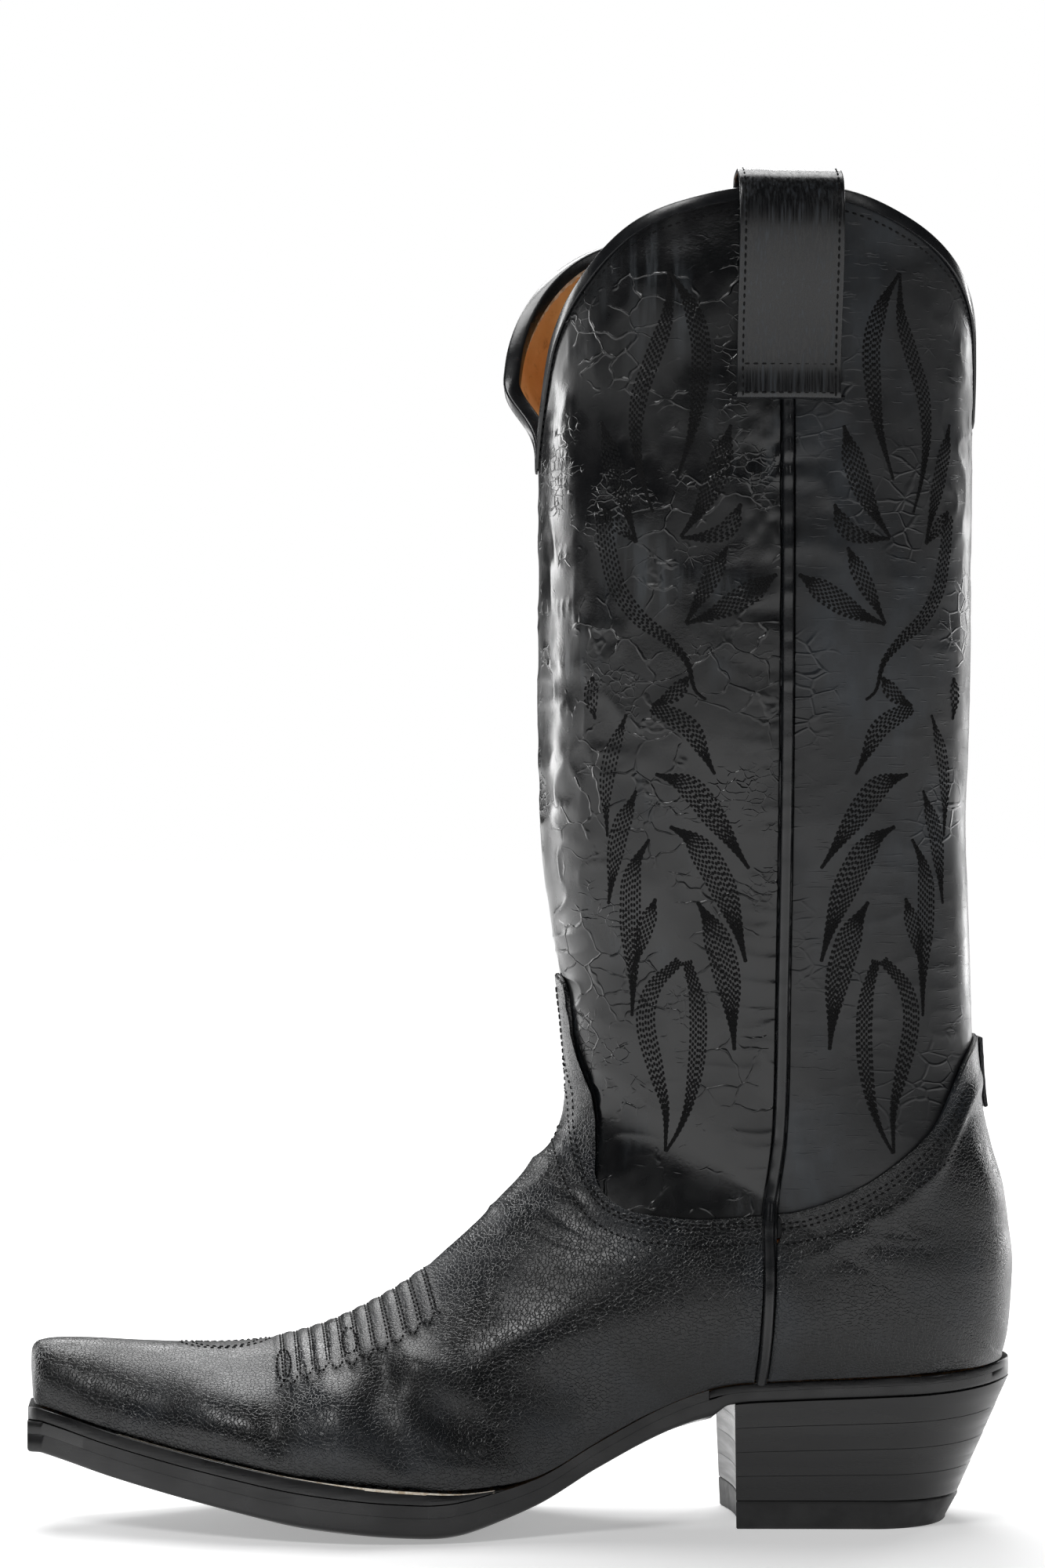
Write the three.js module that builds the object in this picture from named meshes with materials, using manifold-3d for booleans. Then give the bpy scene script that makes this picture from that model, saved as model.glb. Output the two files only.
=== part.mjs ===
// A cowboy boot, left foot, in millimetres. +Z is up, the toe points to -X and the outer side of the
// foot is at -Y. The upper is one smooth form: rings that stand upright at the toe and lie flat in the
// shaft. Every leather piece is a region of that form with a thickness of its own.

import * as THREE from 'three';
import { mergeVertices } from 'three/addons/utils/BufferGeometryUtils.js';
import Module from 'manifold-3d';

const wasm = await Module();
wasm.setup();

// Overall sizes
const BOOT_LENGTH = 288;
const SHAFT_TOP = 387;
const BALL_HALF_WIDTH = 43;
const SHAFT_HALF_WIDTH = 53;

// Leather and fits
const GAP = 0.3;
const LAP_GAP = 1.2;
const SEAT_GAP = 0.6;
const SHAFT_LEATHER = 1.6;
const LINING_LEATHER = 1;
const VAMP_LEATHER = 1.6;
const STIFFENER = 1.7;
const TOE_BOX = 1.2;
const SEAM_HALF = 2;
const BEAD_GAP = 0.8;
const STRAP_WIDTH = 30;
const STRAP_THICKNESS = 1.6;
const STRAP_LOOP = 11;
const STRAP_TOP = 391.8;

// Bottom
const WELT = 4;
const WELT_REACH = 8;
const MIDSOLE = 3.2;
const MIDSOLE_WAIST = 2.6;
const OUTSOLE = 5.2;
const OUTSOLE_WAIST = 4.2;
const OUTSOLE_SEAT = 3;
const RAND = 2.4;
const INSOLE = 3;
const SOCK = 1.2;
const BREAST_X = 58;
const WELT_END = -8;
const HEEL_CAP = 8.5;
const LIFTS = 4;
const NAIL_RADIUS = 1.3;
const PEG = 1.6;

const TOE_X = -140.5;
const HEEL_X = 142;
const ANKLE_Z = 165;
const stretch = BOOT_LENGTH / 288;
const raise = (SHAFT_TOP - ANKLE_Z) / (387 - ANKLE_Z);
const ballWide = BALL_HALF_WIDTH / 43;
const shaftWide = SHAFT_HALF_WIDTH / 53;

const mix = (a, b, t) => a + (b - a) * t;
const clamp = (x, low, high) => Math.min(Math.max(x, low), high);

function smooth(x, from, to) {
  const t = clamp((x - from) / (to - from), 0, 1);
  return t * t * (3 - 2 * t);
}

// A smooth curve through [x, y] knots, level past its ends.
function curve(knots) {
  const slope = (i) => {
    const a = knots[Math.max(i - 1, 0)];
    const b = knots[Math.min(i + 1, knots.length - 1)];
    return (b[1] - a[1]) / (b[0] - a[0]);
  };
  return (x) => {
    const at = clamp(x, knots[0][0], knots[knots.length - 1][0]);
    let i = 0;
    while (i < knots.length - 2 && at > knots[i + 1][0]) i += 1;
    const [x0, y0] = knots[i];
    const [x1, y1] = knots[i + 1];
    const h = x1 - x0;
    const t = (at - x0) / h;
    const bend = t * t * (3 - 2 * t);
    const lead = slope(i) * h * t * (1 - t) * (1 - t);
    const trail = slope(i + 1) * h * t * t * (1 - t);
    return y0 + (y1 - y0) * bend + lead - trail;
  };
}

// Rings of the upper: crest x, crest z, lower end x, lower end z, greatest half width.
const RINGS = [
  [-140.5, 35, -140.5, 35, 9.6],
  [-141, 46.5, -137.5, 34.4, 10.6],
  [-138, 51, -132, 32.9, 13.2],
  [-128, 51.2, -123, 30.1, 18.2],
  [-110, 50.3, -106, 26.2, 26],
  [-90, 49.8, -88, 22.6, 34.5],
  [-72, 51.2, -70, 19.3, 41],
  [-56, 55.4, -52, 17, 44.5],
  [-40, 63, -34, 15.3, 45],
  [-27, 71.5, -16, 14.3, 42.5],
  [-15, 83, 2, 17, 38],
  [-5, 94, 20, 26.4, 34.5],
  [4, 103.5, 38, 35.6, 33.5],
  [10.5, 111, 56, 42, 33.6],
  [13.5, 117.5, 76, 43.7, 34.4],
  [14.6, 124, 98, 44.5, 35],
  [14.6, 129, 118, 45.5, 35.4],
  [14.3, 133, 132, 46.7, 35.8],
  [14, 136, 138.6, 47.7, 36],
  [13.8, 139, 140, 50, 36.4],
  [13.5, 142, 141.6, 58, 36.8],
  [13.1, 146, 142.6, 70, 37.2],
  [12.7, 150, 143, 84, 37.8],
  [12.2, 154, 141.5, 98, 38.4],
  [11.8, 158, 138, 110, 39],
  [11.2, 163, 135.2, 122, 39.8],
  [10.5, 168, 134, 136, 40.8],
  [9.5, 174, 133.4, 150, 42.2],
  [8.6, 182, 133, 165, 44],
  [7.4, 195, 132.2, 184, 46.4],
  [6.6, 212, 131.5, 205, 49],
  [6, 232, 132.4, 228, 51],
  [5.5, 255, 133.2, 253, 52.2],
  [5.4, 285, 133.4, 284, 52.8],
  [5.4, 320, 133.8, 320, 53],
  [5.6, 355, 134, 355, 53],
  [6, 392, 134, 392, 53],
];
const LAST_RING = RINGS.length - 1;
const HEEL_RING = 19;
const channel = (k) => curve(RINGS.map((ring, i) => [i, ring[k]]));
const crestX = channel(0);
const crestZ = channel(1);
const footX = channel(2);
const footZ = channel(3);
const widest = channel(4);
const skew = curve([[0, 0], [7, 0], [10, -0.12], [19, -0.12], [26, -0.06], [31, 0], [36, 0]]);
const fullness = curve([[0, 0.02], [4, -0.05], [7, -0.1], [9, -0.08], [12, 0], [19, 0.1], [26, 0.07],
  [31, 0.04], [36, 0.04]]);

// Bottom edge of the upper, seen from the side and from above on each side of the foot.
const feather = curve([[-141, 35], [-123, 30.1], [-106, 26.2], [-88, 22.6], [-70, 19.3], [-52, 17],
  [-34, 15.3], [-16, 14.3], [2, 17], [20, 26.4], [38, 35.6], [50, 40.3], [60, 42.6], [78, 43.7],
  [98, 44.5], [118, 45.5], [132, 46.7], [142, 48]]);
const OUTER_HALF = [[-141, 9], [-132, 12.5], [-120, 19.5], [-100, 28.5], [-80, 36], [-60, 41.5],
  [-42, 43.5], [-20, 42], [5, 35], [30, 29.5], [55, 28], [80, 29], [112, 31]];
const INNER_HALF = [[-141, 9], [-132, 12], [-120, 17.5], [-100, 27], [-80, 37], [-60, 42.5],
  [-42, 41.5], [-20, 35], [5, 27.5], [30, 25.5], [55, 26.5], [80, 29], [112, 31]];
const outerHalf = curve(OUTER_HALF);
const innerHalf = curve(INNER_HALF);
const SEAT_CENTRE = 112;
const SEAT_RADIUS = HEEL_X - SEAT_CENTRE;

// Half width of the bottom edge. side is -1 on the outer side and 1 on the inner side.
function bottomHalf(x, side) {
  const half = side < 0 ? outerHalf(x) : innerHalf(x);
  const back = clamp((x - SEAT_CENTRE) / SEAT_RADIUS, 0, 1);
  return half * Math.sqrt(1 - back * back) * mix(ballWide, 1, smooth(x, -20, 40));
}

const toeSwing = (x) => 5 * clamp((-20 - x) / 121, 0, 1) ** 2;
const lift = (z) => (z > ANKLE_Z ? ANKLE_Z + (z - ANKLE_Z) * raise : z);

// A point of the upper's form, before the overall sizes are applied. u counts rings and v runs from the
// crest (0) to the bottom edge or the back of the leg (1).
function form(u, v, side) {
  const half = widest(u) * mix(ballWide, shaftWide, smooth(u, 10, 28));
  const low = u < HEEL_RING ? Math.min(bottomHalf(footX(u), side), half * 0.985) : 0;
  const end = Math.PI - Math.asin(clamp(low / half, 0, 1));
  const wave = (a) => Math.sin(a) + skew(u) * Math.sin(2 * a) + fullness(u) * Math.sin(3 * a);
  const scale = half / (1 - fullness(u));
  const angle = v * end;
  const t = (1 - Math.cos(angle)) / (1 - Math.cos(end));
  const y = scale * wave(angle) + (low - scale * wave(end)) * v ** 3;
  const x = mix(crestX(u), footX(u), t);
  return [x, side * y + toeSwing(x), mix(crestZ(u), footZ(u), t)];
}

function place([x, y, z]) {
  return new THREE.Vector3(x * stretch, y, lift(z));
}

function normalAt(u, v, side) {
  const a = clamp(u, 0.4, LAST_RING - 0.1);
  const b = clamp(v, 0, a < HEEL_RING ? 0.97 : 1);
  const du = place(form(a + 0.05, b, side)).sub(place(form(a - 0.05, b, side)));
  const dv = place(form(a, b + 0.01, side)).sub(place(form(a, b - 0.01, side)));
  const n = new THREE.Vector3().crossVectors(du, dv).normalize();
  return side < 0 ? n.negate() : n;
}

// A point off the form by an offset. Nothing reaches below the seat that the upper is sewn down to.
function onForm([u, v, side], offset) {
  const p = place(form(u, v, side)).addScaledVector(normalAt(u, v, side), offset);
  p.z = Math.max(p.z, feather(p.x / stretch) + SEAT_GAP);
  return p;
}

// The [u, v] of a side-view point: the ring whose straight side view passes through it.
function locate(x, z) {
  const cross = (u) => {
    const dx = footX(u) - crestX(u);
    const dz = footZ(u) - crestZ(u);
    return dx * (z - crestZ(u)) - dz * (x - crestX(u));
  };
  let low = 0.5;
  let high = LAST_RING;
  for (let i = 0; i < 50; i += 1) {
    const middle = (low + high) / 2;
    if (cross(middle) > 0) low = middle;
    else high = middle;
  }
  const u = (low + high) / 2;
  const dx = footX(u) - crestX(u);
  const dz = footZ(u) - crestZ(u);
  const t = ((x - crestX(u)) * dx + (z - crestZ(u)) * dz) / (dx * dx + dz * dz);
  const half = widest(u) * mix(ballWide, shaftWide, smooth(u, 10, 28));
  const low2 = u < HEEL_RING ? Math.min(bottomHalf(footX(u), -1), half * 0.985) : 0;
  const end = Math.PI - Math.asin(clamp(low2 / half, 0, 1));
  return [u, Math.acos(clamp(1 - t * (1 - Math.cos(end)), -1, 1)) / end];
}

// Points spread evenly by length along a side-view outline, as [x, z].
function spread(outline, count) {
  const path = new THREE.CatmullRomCurve3(outline.map(([x, z]) => new THREE.Vector3(x, 0, z)));
  return path.getSpacedPoints(count - 1).map((p) => [p.x, p.z]);
}

function mesh(name, geometry, color, roughness, metalness = 0) {
  const made = new THREE.Mesh(geometry, new THREE.MeshStandardMaterial({ color, roughness, metalness }));
  made.name = name;
  return made;
}

function solid(points, faces) {
  const geometry = new THREE.BufferGeometry();
  const flat = points.flatMap((p) => [p.x, p.y, p.z]);
  geometry.setAttribute('position', new THREE.Float32BufferAttribute(flat, 3));
  geometry.setIndex(faces);
  if (volume(points, faces) < 0) geometry.setIndex(faces.toReversed());
  return mergeVertices(geometry, 1e-4);
}

function volume(points, faces) {
  let sum = 0;
  for (let i = 0; i < faces.length; i += 3) {
    const [a, b, c] = [points[faces[i]], points[faces[i + 1]], points[faces[i + 2]]];
    sum += a.dot(new THREE.Vector3().crossVectors(b, c));
  }
  return sum;
}

// A closed piece between two grids of points with the same rows and columns.
function slab(over, under) {
  const rows = over.length;
  const columns = over[0].length;
  const points = [...over.flat(), ...under.flat()];
  const base = rows * columns;
  const faces = [];
  const quad = (a, b, c, d) => faces.push(a, b, c, a, c, d);
  const at = (i, j) => i * columns + j;
  for (let i = 0; i < rows - 1; i += 1) {
    for (let j = 0; j < columns - 1; j += 1) {
      quad(at(i, j), at(i + 1, j), at(i + 1, j + 1), at(i, j + 1));
      quad(base + at(i, j), base + at(i, j + 1), base + at(i + 1, j + 1), base + at(i + 1, j));
    }
    quad(at(i, 0), base + at(i, 0), base + at(i + 1, 0), at(i + 1, 0));
    const j = columns - 1;
    quad(at(i, j), at(i + 1, j), base + at(i + 1, j), base + at(i, j));
  }
  for (let j = 0; j < columns - 1; j += 1) {
    quad(at(0, j), at(0, j + 1), base + at(0, j + 1), base + at(0, j));
    const i = rows - 1;
    quad(at(i, j), base + at(i, j), base + at(i, j + 1), at(i, j + 1));
  }
  return solid(points, faces);
}

// A leather piece: a grid of [u, v, side] given thickness from its outer to its inner offset.
function leather(grid, outer, thickness) {
  const layer = (shift) => grid.map((row) => row.map((p) => onForm(p, shift)));
  return slab(layer(outer), layer(outer - thickness));
}

// A closed bar with one section all along a path. Each stop gives its centre and two axes.
function sweep(stops, section) {
  const points = [];
  for (const { at, across, out } of stops) {
    for (const [a, b] of section) {
      points.push(at.clone().addScaledVector(across, a).addScaledVector(out, b));
    }
  }
  const n = section.length;
  const faces = [];
  for (let i = 0; i < stops.length - 1; i += 1) {
    for (let j = 0; j < n; j += 1) {
      const k = (j + 1) % n;
      faces.push(i * n + j, i * n + k, (i + 1) * n + k, i * n + j, (i + 1) * n + k, (i + 1) * n + j);
    }
  }
  const cap = THREE.ShapeUtils.triangulateShape(section.map(([a, b]) => new THREE.Vector2(a, b)), []);
  const clockwise = THREE.ShapeUtils.isClockWise(section.map(([a, b]) => new THREE.Vector2(a, b)));
  const last = (stops.length - 1) * n;
  for (const [a, b, c] of cap) {
    if (clockwise) faces.push(a, b, c, last + a, last + c, last + b);
    else faces.push(a, c, b, last + a, last + b, last + c);
  }
  return solid(points, faces);
}

function toManifold(geometry) {
  const bare = new THREE.BufferGeometry();
  bare.setAttribute('position', geometry.getAttribute('position'));
  bare.setIndex(geometry.getIndex());
  const merged = mergeVertices(bare, 1e-4);
  return new wasm.Manifold(new wasm.Mesh({
    numProp: 3,
    vertProperties: new Float32Array(merged.getAttribute('position').array),
    triVerts: new Uint32Array(merged.getIndex().array),
  }));
}

function cut(geometry, tools) {
  let body = toManifold(geometry);
  for (const tool of tools) body = body.subtract(toManifold(tool));
  const result = body.getMesh();
  const made = new THREE.BufferGeometry();
  made.setAttribute('position', new THREE.Float32BufferAttribute(result.vertProperties, 3));
  made.setIndex([...result.triVerts]);
  return made;
}

// Seams, seen from the side as [x, z]
const SIDE_SEAM = [[67.5, 42], [69.5, 70], [70, 93], [72.7, 116], [73.2, 150], [73.2, 392]];
const VAMP_EDGE = [[12, 161], [13.3, 157], [14.6, 145], [16.2, 134.7], [18, 126], [18.2, 116],
  [19.2, 106.5], [21.4, 100.5], [25, 96], [31, 93], [41, 91.6], [50.6, 91.1], [68, 92.3]];
const VAMP_LAP = [[13.6, 119], [16, 107], [19, 98], [24, 91], [31, 87], [41, 85], [55, 84.6], [68, 85.3]];
const COUNTER_EDGE = [[72.2, 92.7], [79.4, 94.1], [88.5, 97.2], [96.6, 101.2], [103.9, 106],
  [111.3, 111.9], [117.8, 118.7], [123.3, 129], [127.5, 137], [133.5, 143]];
const COUNTER_LAP = [[71.7, 85.5], [80, 87], [90, 90], [99, 94.5], [107, 100], [114.5, 106], [121, 113],
  [126.5, 121], [131, 128], [134.3, 133]];
const seamX = curve(SIDE_SEAM.map(([x, z]) => [z, x]));

// v of the side seam on ring u, moved by a distance along x.
function seamV(u, shift) {
  let low = 0.2;
  let high = 1;
  for (let i = 0; i < 40; i += 1) {
    const v = (low + high) / 2;
    const [x, , z] = form(u, v, -1);
    if (x < seamX(z) + shift) low = v;
    else high = v;
  }
  return (low + high) / 2;
}

// Height of the shaft's top edge: high rounded arches with a deep notch at the front and the back.
const topEdge = curve([[0, 311], [0.05, 328], [0.1, 346], [0.19, 363.5], [0.29, 377.5], [0.4, 384.5],
  [0.5, 387], [0.6, 386], [0.7, 379.5], [0.81, 369], [0.89, 358], [0.95, 346], [1, 325]]);

function topRing(v) {
  let low = 25;
  let high = LAST_RING;
  for (let i = 0; i < 40; i += 1) {
    const u = (low + high) / 2;
    if (form(u, v, -1)[2] < topEdge(v)) low = u;
    else high = u;
  }
  return (low + high) / 2;
}

const SHAFT_COLUMNS = 8;
const SHAFT_ROWS = 10;

// One side's columns put beside the other side's, which share their middle one.
function bothSides(half) {
  const outer = half.map((row) => row.map(([u, v]) => [u, v, -1]).toReversed());
  return outer.map((row, i) => [...row, ...half[i].slice(1).map(([u, v]) => [u, v, 1])]);
}

function shaftGrid(lap, front) {
  const shift = front ? -SEAM_HALF : SEAM_HALF;
  const toV = (u, b) => (front ? b * seamV(u, shift) : 1 - b * (1 - seamV(u, shift)));
  const ends = spread(front ? lap : lap.toReversed(), SHAFT_COLUMNS).map(([x, z], j) => {
    const [u, v] = locate(x, z);
    const edge = seamV(u, shift);
    const b = front ? v / edge : (1 - v) / (1 - edge);
    const topB = j / (SHAFT_COLUMNS - 1);
    const first = j === 0;
    const last = j === SHAFT_COLUMNS - 1;
    return { u, b: first ? 0 : last ? 1 : b, topB };
  });
  const half = [];
  for (let i = 0; i < SHAFT_ROWS; i += 1) {
    const a = i / (SHAFT_ROWS - 1);
    half.push(ends.map(({ u, b, topB }) => {
      const top = topRing(toV(35, topB));
      const ring = mix(u, top, a);
      return [ring, toV(ring, mix(b, topB, smooth(a, 0, 0.7)))];
    }));
  }
  return bothSides(half);
}

const SHAFT_OUT = 0;
const LINING_OUT = -SHAFT_LEATHER - GAP;
const VAMP_OUT = LAP_GAP + VAMP_LEATHER;

const BLACK = 0x101114;
const CHARCOAL = 0x1b1c20;
const TAN = 0xc58a4a;

function shaft(group) {
  const front = shaftGrid(VAMP_LAP, true);
  const back = shaftGrid(COUNTER_LAP, false);
  group.add(mesh('shaft_front_panel', leather(front, SHAFT_OUT, SHAFT_LEATHER), BLACK, 0.35));
  group.add(mesh('shaft_back_panel', leather(back, SHAFT_OUT, SHAFT_LEATHER), CHARCOAL, 0.4));
  group.add(mesh('shaft_front_lining', leather(front, LINING_OUT, LINING_LEATHER), TAN, 0.75));
  group.add(mesh('shaft_back_lining', leather(back, LINING_OUT, LINING_LEATHER), TAN, 0.75));
  group.add(mesh('top_binding_front', binding(front), BLACK, 0.35));
  group.add(mesh('top_binding_back', binding(back), BLACK, 0.35));
}

// The folded edge strip: a channel over the panel and its lining.
const BINDING_WALL = 0.7;
const BINDING_DEPTH = 2.6;
const BINDING_SECTION = [
  [-BINDING_DEPTH, GAP + BINDING_WALL], [GAP + BINDING_WALL, GAP + BINDING_WALL],
  [GAP + BINDING_WALL, LINING_OUT - LINING_LEATHER - GAP - BINDING_WALL],
  [-BINDING_DEPTH, LINING_OUT - LINING_LEATHER - GAP - BINDING_WALL],
  [-BINDING_DEPTH, LINING_OUT - LINING_LEATHER - GAP], [GAP, LINING_OUT - LINING_LEATHER - GAP],
  [GAP, GAP], [-BINDING_DEPTH, GAP],
];

function binding(grid) {
  const edge = grid[grid.length - 1];
  const places = edge.map((p) => onForm(p, 0));
  const below = grid[grid.length - 2].map((p) => onForm(p, 0));
  return sweep(edge.map((p, j) => {
    const before = places[Math.max(j - 1, 0)];
    const after = places[Math.min(j + 1, places.length - 1)];
    const back = places[j].clone().sub(before).normalize();
    const ahead = after.clone().sub(places[j]).normalize();
    const along = back.add(ahead).normalize();
    const across = places[j].clone().sub(below[j]);
    across.addScaledVector(along, -across.dot(along)).setLength(1 / back.dot(along));
    return { at: places[j], across, out: normalAt(...p) };
  }), BINDING_SECTION);
}

function sideWelt(side) {
  const stops = [];
  const count = 18;
  const topZ = topEdge(seamV(35, 0)) - 1.2;
  for (let i = 0; i < count; i += 1) {
    const z = mix(46, topZ, i / (count - 1));
    const [u, v] = locate(seamX(z), z);
    const up = smooth(z, 104, 88) * (VAMP_OUT - 0.3);
    stops.push({ u, v, up });
  }
  const places = stops.map(({ u, v }) => onForm([u, v, side], 0));
  const bead = SEAM_HALF - BEAD_GAP;
  const section = [[-bead, -SHAFT_LEATHER], [bead, -SHAFT_LEATHER], [bead, 0.9], [bead * 0.6, 1.8],
    [0, 2.1], [-bead * 0.6, 1.8], [-bead, 0.9]];
  return sweep(stops.map(({ u, v, up }, i) => {
    const out = normalAt(u, v, side);
    const before = places[Math.max(i - 1, 0)];
    const along = places[Math.min(i + 1, count - 1)].clone().sub(before).normalize();
    const across = new THREE.Vector3().crossVectors(along, out).normalize();
    return { at: places[i].clone().addScaledVector(out, up), across, out };
  }), section);
}

// A pull strap: sewn flat outside, standing off as a finger loop, over the edge and down inside.
function pullStrap(side) {
  const inside = LINING_OUT - LINING_LEATHER - 2 * GAP - BINDING_WALL - STRAP_THICKNESS;
  const stand = 3.2 + STRAP_THICKNESS / 2;
  const top = STRAP_TOP - STRAP_THICKNESS / 2;
  const route = [[stand, 327], [stand, 336], [mix(stand, STRAP_LOOP, 0.35), 350], [STRAP_LOOP, 366],
    [STRAP_LOOP + 1.6, 379], [STRAP_LOOP - 0.6, 387.5], [STRAP_LOOP - 6, top], [0, top],
    [inside + 1, top - 1.6], [inside, top - 6], [inside, 370], [inside, 340], [inside, 305]];
  const path = new THREE.CatmullRomCurve3(route.map(([d, z]) => new THREE.Vector3(d, 0, z)), false,
    'centripetal');
  const count = 26;
  const columns = 4;
  const grid = (shift) => {
    const rows = [];
    for (let i = 0; i < count; i += 1) {
      const t = i / (count - 1);
      const p = path.getPointAt(t);
      const run = path.getTangentAt(t);
      const d = p.x - run.z * shift;
      const z = p.z + run.x * shift;
      const row = [];
      for (let j = 0; j < columns; j += 1) {
        const x = 73.2 + STRAP_WIDTH * (j / (columns - 1) - 0.5) / stretch;
        const [u, v] = locate(x, Math.min(z, 391));
        const y = form(u, v, 1)[1] - toeSwing(x);
        row.push(new THREE.Vector3(x * stretch, side * (y + d), lift(z)));
      }
      rows.push(row);
    }
    return rows;
  };
  return slab(grid(STRAP_THICKNESS / 2), grid(-STRAP_THICKNESS / 2));
}

// The rear edge of the vamp and the front edge of the counter stand off the side seam.
function seamPoints(shift, topZ, count, liftOff) {
  const points = [];
  for (let i = 0; i < count; i += 1) {
    const z = mix(topZ, feather(67.5) + liftOff, i / (count - 1));
    points.push([seamX(z) + shift, z]);
  }
  return points;
}

const FOOT_EDGE = 0.985;
const TOE_RING = 0.12;

// The far ends of the vamp's columns: along its top edge, then down the side seam.
function vampEnds(edge, along, down, short) {
  const upper = spread(edge, along).map(([x, z]) => locate(x, z));
  upper[0][1] = 0;
  const corner = edge[edge.length - 1];
  const side = seamPoints(-SEAM_HALF, corner[1], down, 0.5).slice(1).map(([x, z]) => locate(x, z));
  side[side.length - 1][1] = FOOT_EDGE;
  return [...upper.map(([u, v]) => [u - short, v]), ...side];
}

// Columns run back from the toe to where the lining stops, and on to the vamp's own top edge.
function vampGrid(rowCount, along, down) {
  const inner = vampEnds(VAMP_LAP, along, down, 0.35);
  const outer = vampEnds(VAMP_EDGE, along, down, 0);
  const half = [];
  for (let i = 0; i < rowCount; i += 1) {
    const a = i / (rowCount - 1);
    half.push(inner.map(([u, v], j) => {
      const b = j / (inner.length - 1);
      return [mix(TOE_RING, u, a ** 0.8), Math.min(mix(b, v, smooth(a, 0.15, 1)), FOOT_EDGE)];
    }));
  }
  const between = inner.map(([u, v], j) => [mix(u, outer[j][0], 0.5), mix(v, outer[j][1], 0.5)]);
  return bothSides([...half, between, outer]);
}

// Columns rise from the seat's edge to where the stiffener stops, and on to the counter's top edge.
function counterGrid(rowCount, columns) {
  const ends = (edge, down) => {
    const points = spread(edge.toReversed(), columns).map(([x, z]) => locate(x, z - down));
    points[0][1] = 1;
    points[columns - 1] = locate(seamX(edge[0][1] - down) + SEAM_HALF, edge[0][1] - down);
    return points;
  };
  const inner = ends(COUNTER_LAP, 1.5);
  const outer = ends(COUNTER_EDGE, 0);
  const start = locate(seamX(44) + SEAM_HALF, feather(70) + SEAT_GAP)[0];
  const half = [];
  for (let i = 0; i < rowCount; i += 1) {
    const a = i / (rowCount - 1);
    const z = mix(feather(70) + SEAT_GAP, COUNTER_LAP[0][1] - 1.5, a);
    const [su, sv] = locate(seamX(z) + SEAM_HALF, z);
    const [lastU, lastV] = inner[columns - 1];
    half.push(inner.map(([u, v], j) => {
      const b = j / (columns - 1);
      const low = mix(HEEL_RING - 0.3, start, b ** 1.1);
      const ring = mix(low, u, a) + (su - mix(start, lastU, a)) * b * b;
      const turn = mix(FOOT_EDGE, v, a) + (sv - mix(FOOT_EDGE, lastV, a)) * b * b;
      return [ring, j === 0 ? 1 : Math.min(turn, 1)];
    }));
  }
  return bothSides([...half, outer]);
}

function foot(group) {
  const inner = LAP_GAP - GAP;
  const vamp = vampGrid(11, 8, 4);
  const lined = vamp.slice(0, -2);
  group.add(mesh('vamp', leather(vamp, VAMP_OUT, VAMP_LEATHER), BLACK, 0.45));
  group.add(mesh('vamp_lining', leather(lined, inner - TOE_BOX - GAP, LINING_LEATHER), TAN, 0.75));
  group.add(mesh('toe_box', leather(lined.slice(0, 5), inner, TOE_BOX), 0xb9a88a, 0.8));
  const counter = counterGrid(6, 8);
  const stiff = counter.slice(0, -1);
  const under = inner - STIFFENER - 2 * GAP;
  group.add(mesh('counter_cover', leather(counter, VAMP_OUT, VAMP_LEATHER), BLACK, 0.45));
  group.add(mesh('counter_stiffener', leather(stiff, inner - 0.1, STIFFENER), 0x9a7a55, 0.8));
  group.add(mesh('counter_lining', leather(stiff, under, LINING_LEATHER), TAN, 0.75));
  const over = VAMP_OUT + GAP + TAB_LEATHER + 0.3;
  group.add(mesh('back_tab', leather(tabGrid(), over, TAB_LEATHER), BLACK, 0.45));
}

const TAB_LEATHER = 1;
const TAB_HALF = 9;
const TAB_HEIGHTS = [121, 142];

// The value between two ends at which a rising measure reaches a target.
function solve(measure, target, from, to) {
  let [low, high] = [from, to];
  for (let i = 0; i < 40; i += 1) {
    const middle = (low + high) / 2;
    if (measure(middle) < target) low = middle;
    else high = middle;
  }
  return (low + high) / 2;
}

// The tab over the top of the counter, across the back of the leg.
function tabGrid() {
  const half = [];
  for (let i = 0; i < 5; i += 1) {
    const u = solve(footZ, mix(...TAB_HEIGHTS, i / 4), HEEL_RING, LAST_RING);
    half.push(evenly(4).map((t) => {
      const v = solve((at) => -form(u, at, 1)[1], -TAB_HALF * t, 0.6, 1);
      return [u, t === 0 ? 1 : v];
    }));
  }
  return bothSides(half);
}

// How far the sole's edge stands out past the upper.
const edgeReach = curve([[-141, 4.2], [-60, 5.2], [-25, 4.6], [8, 1.6], [50, 1.4], [80, 2], [142, 2.8]]);

// A point of a plate under the foot, from a place along the foot and one across it, from -1 to 1.
function underfoot(base, s, grow) {
  const reach = typeof grow === 'number' ? grow : grow(base);
  const side = s < 0 ? -1 : 1;
  const back = clamp((base - SEAT_CENTRE) / SEAT_RADIUS, 0, 1);
  const half = bottomHalf(base, side) + reach * Math.sqrt(1 - back * back);
  const toeward = smooth(base, TOE_X + 25, TOE_X);
  const x = base - reach * toeward + reach * back;
  return [x, s * Math.max(half, 0.5) + toeSwing(x)];
}

// Places along the foot that every plate shares, so that plates laid on each other keep their gap.
const evenly = (count) => Array.from({ length: count }, (_, i) => i / (count - 1));
const STATIONS = [...evenly(24).map((t) => mix(TOE_X, 115, t)), 121, 127, 132, 136, 139, 141];

function stations(from, to) {
  return [from, ...STATIONS.filter((x) => x > from + 1.5 && x < to - 1), to];
}

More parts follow.
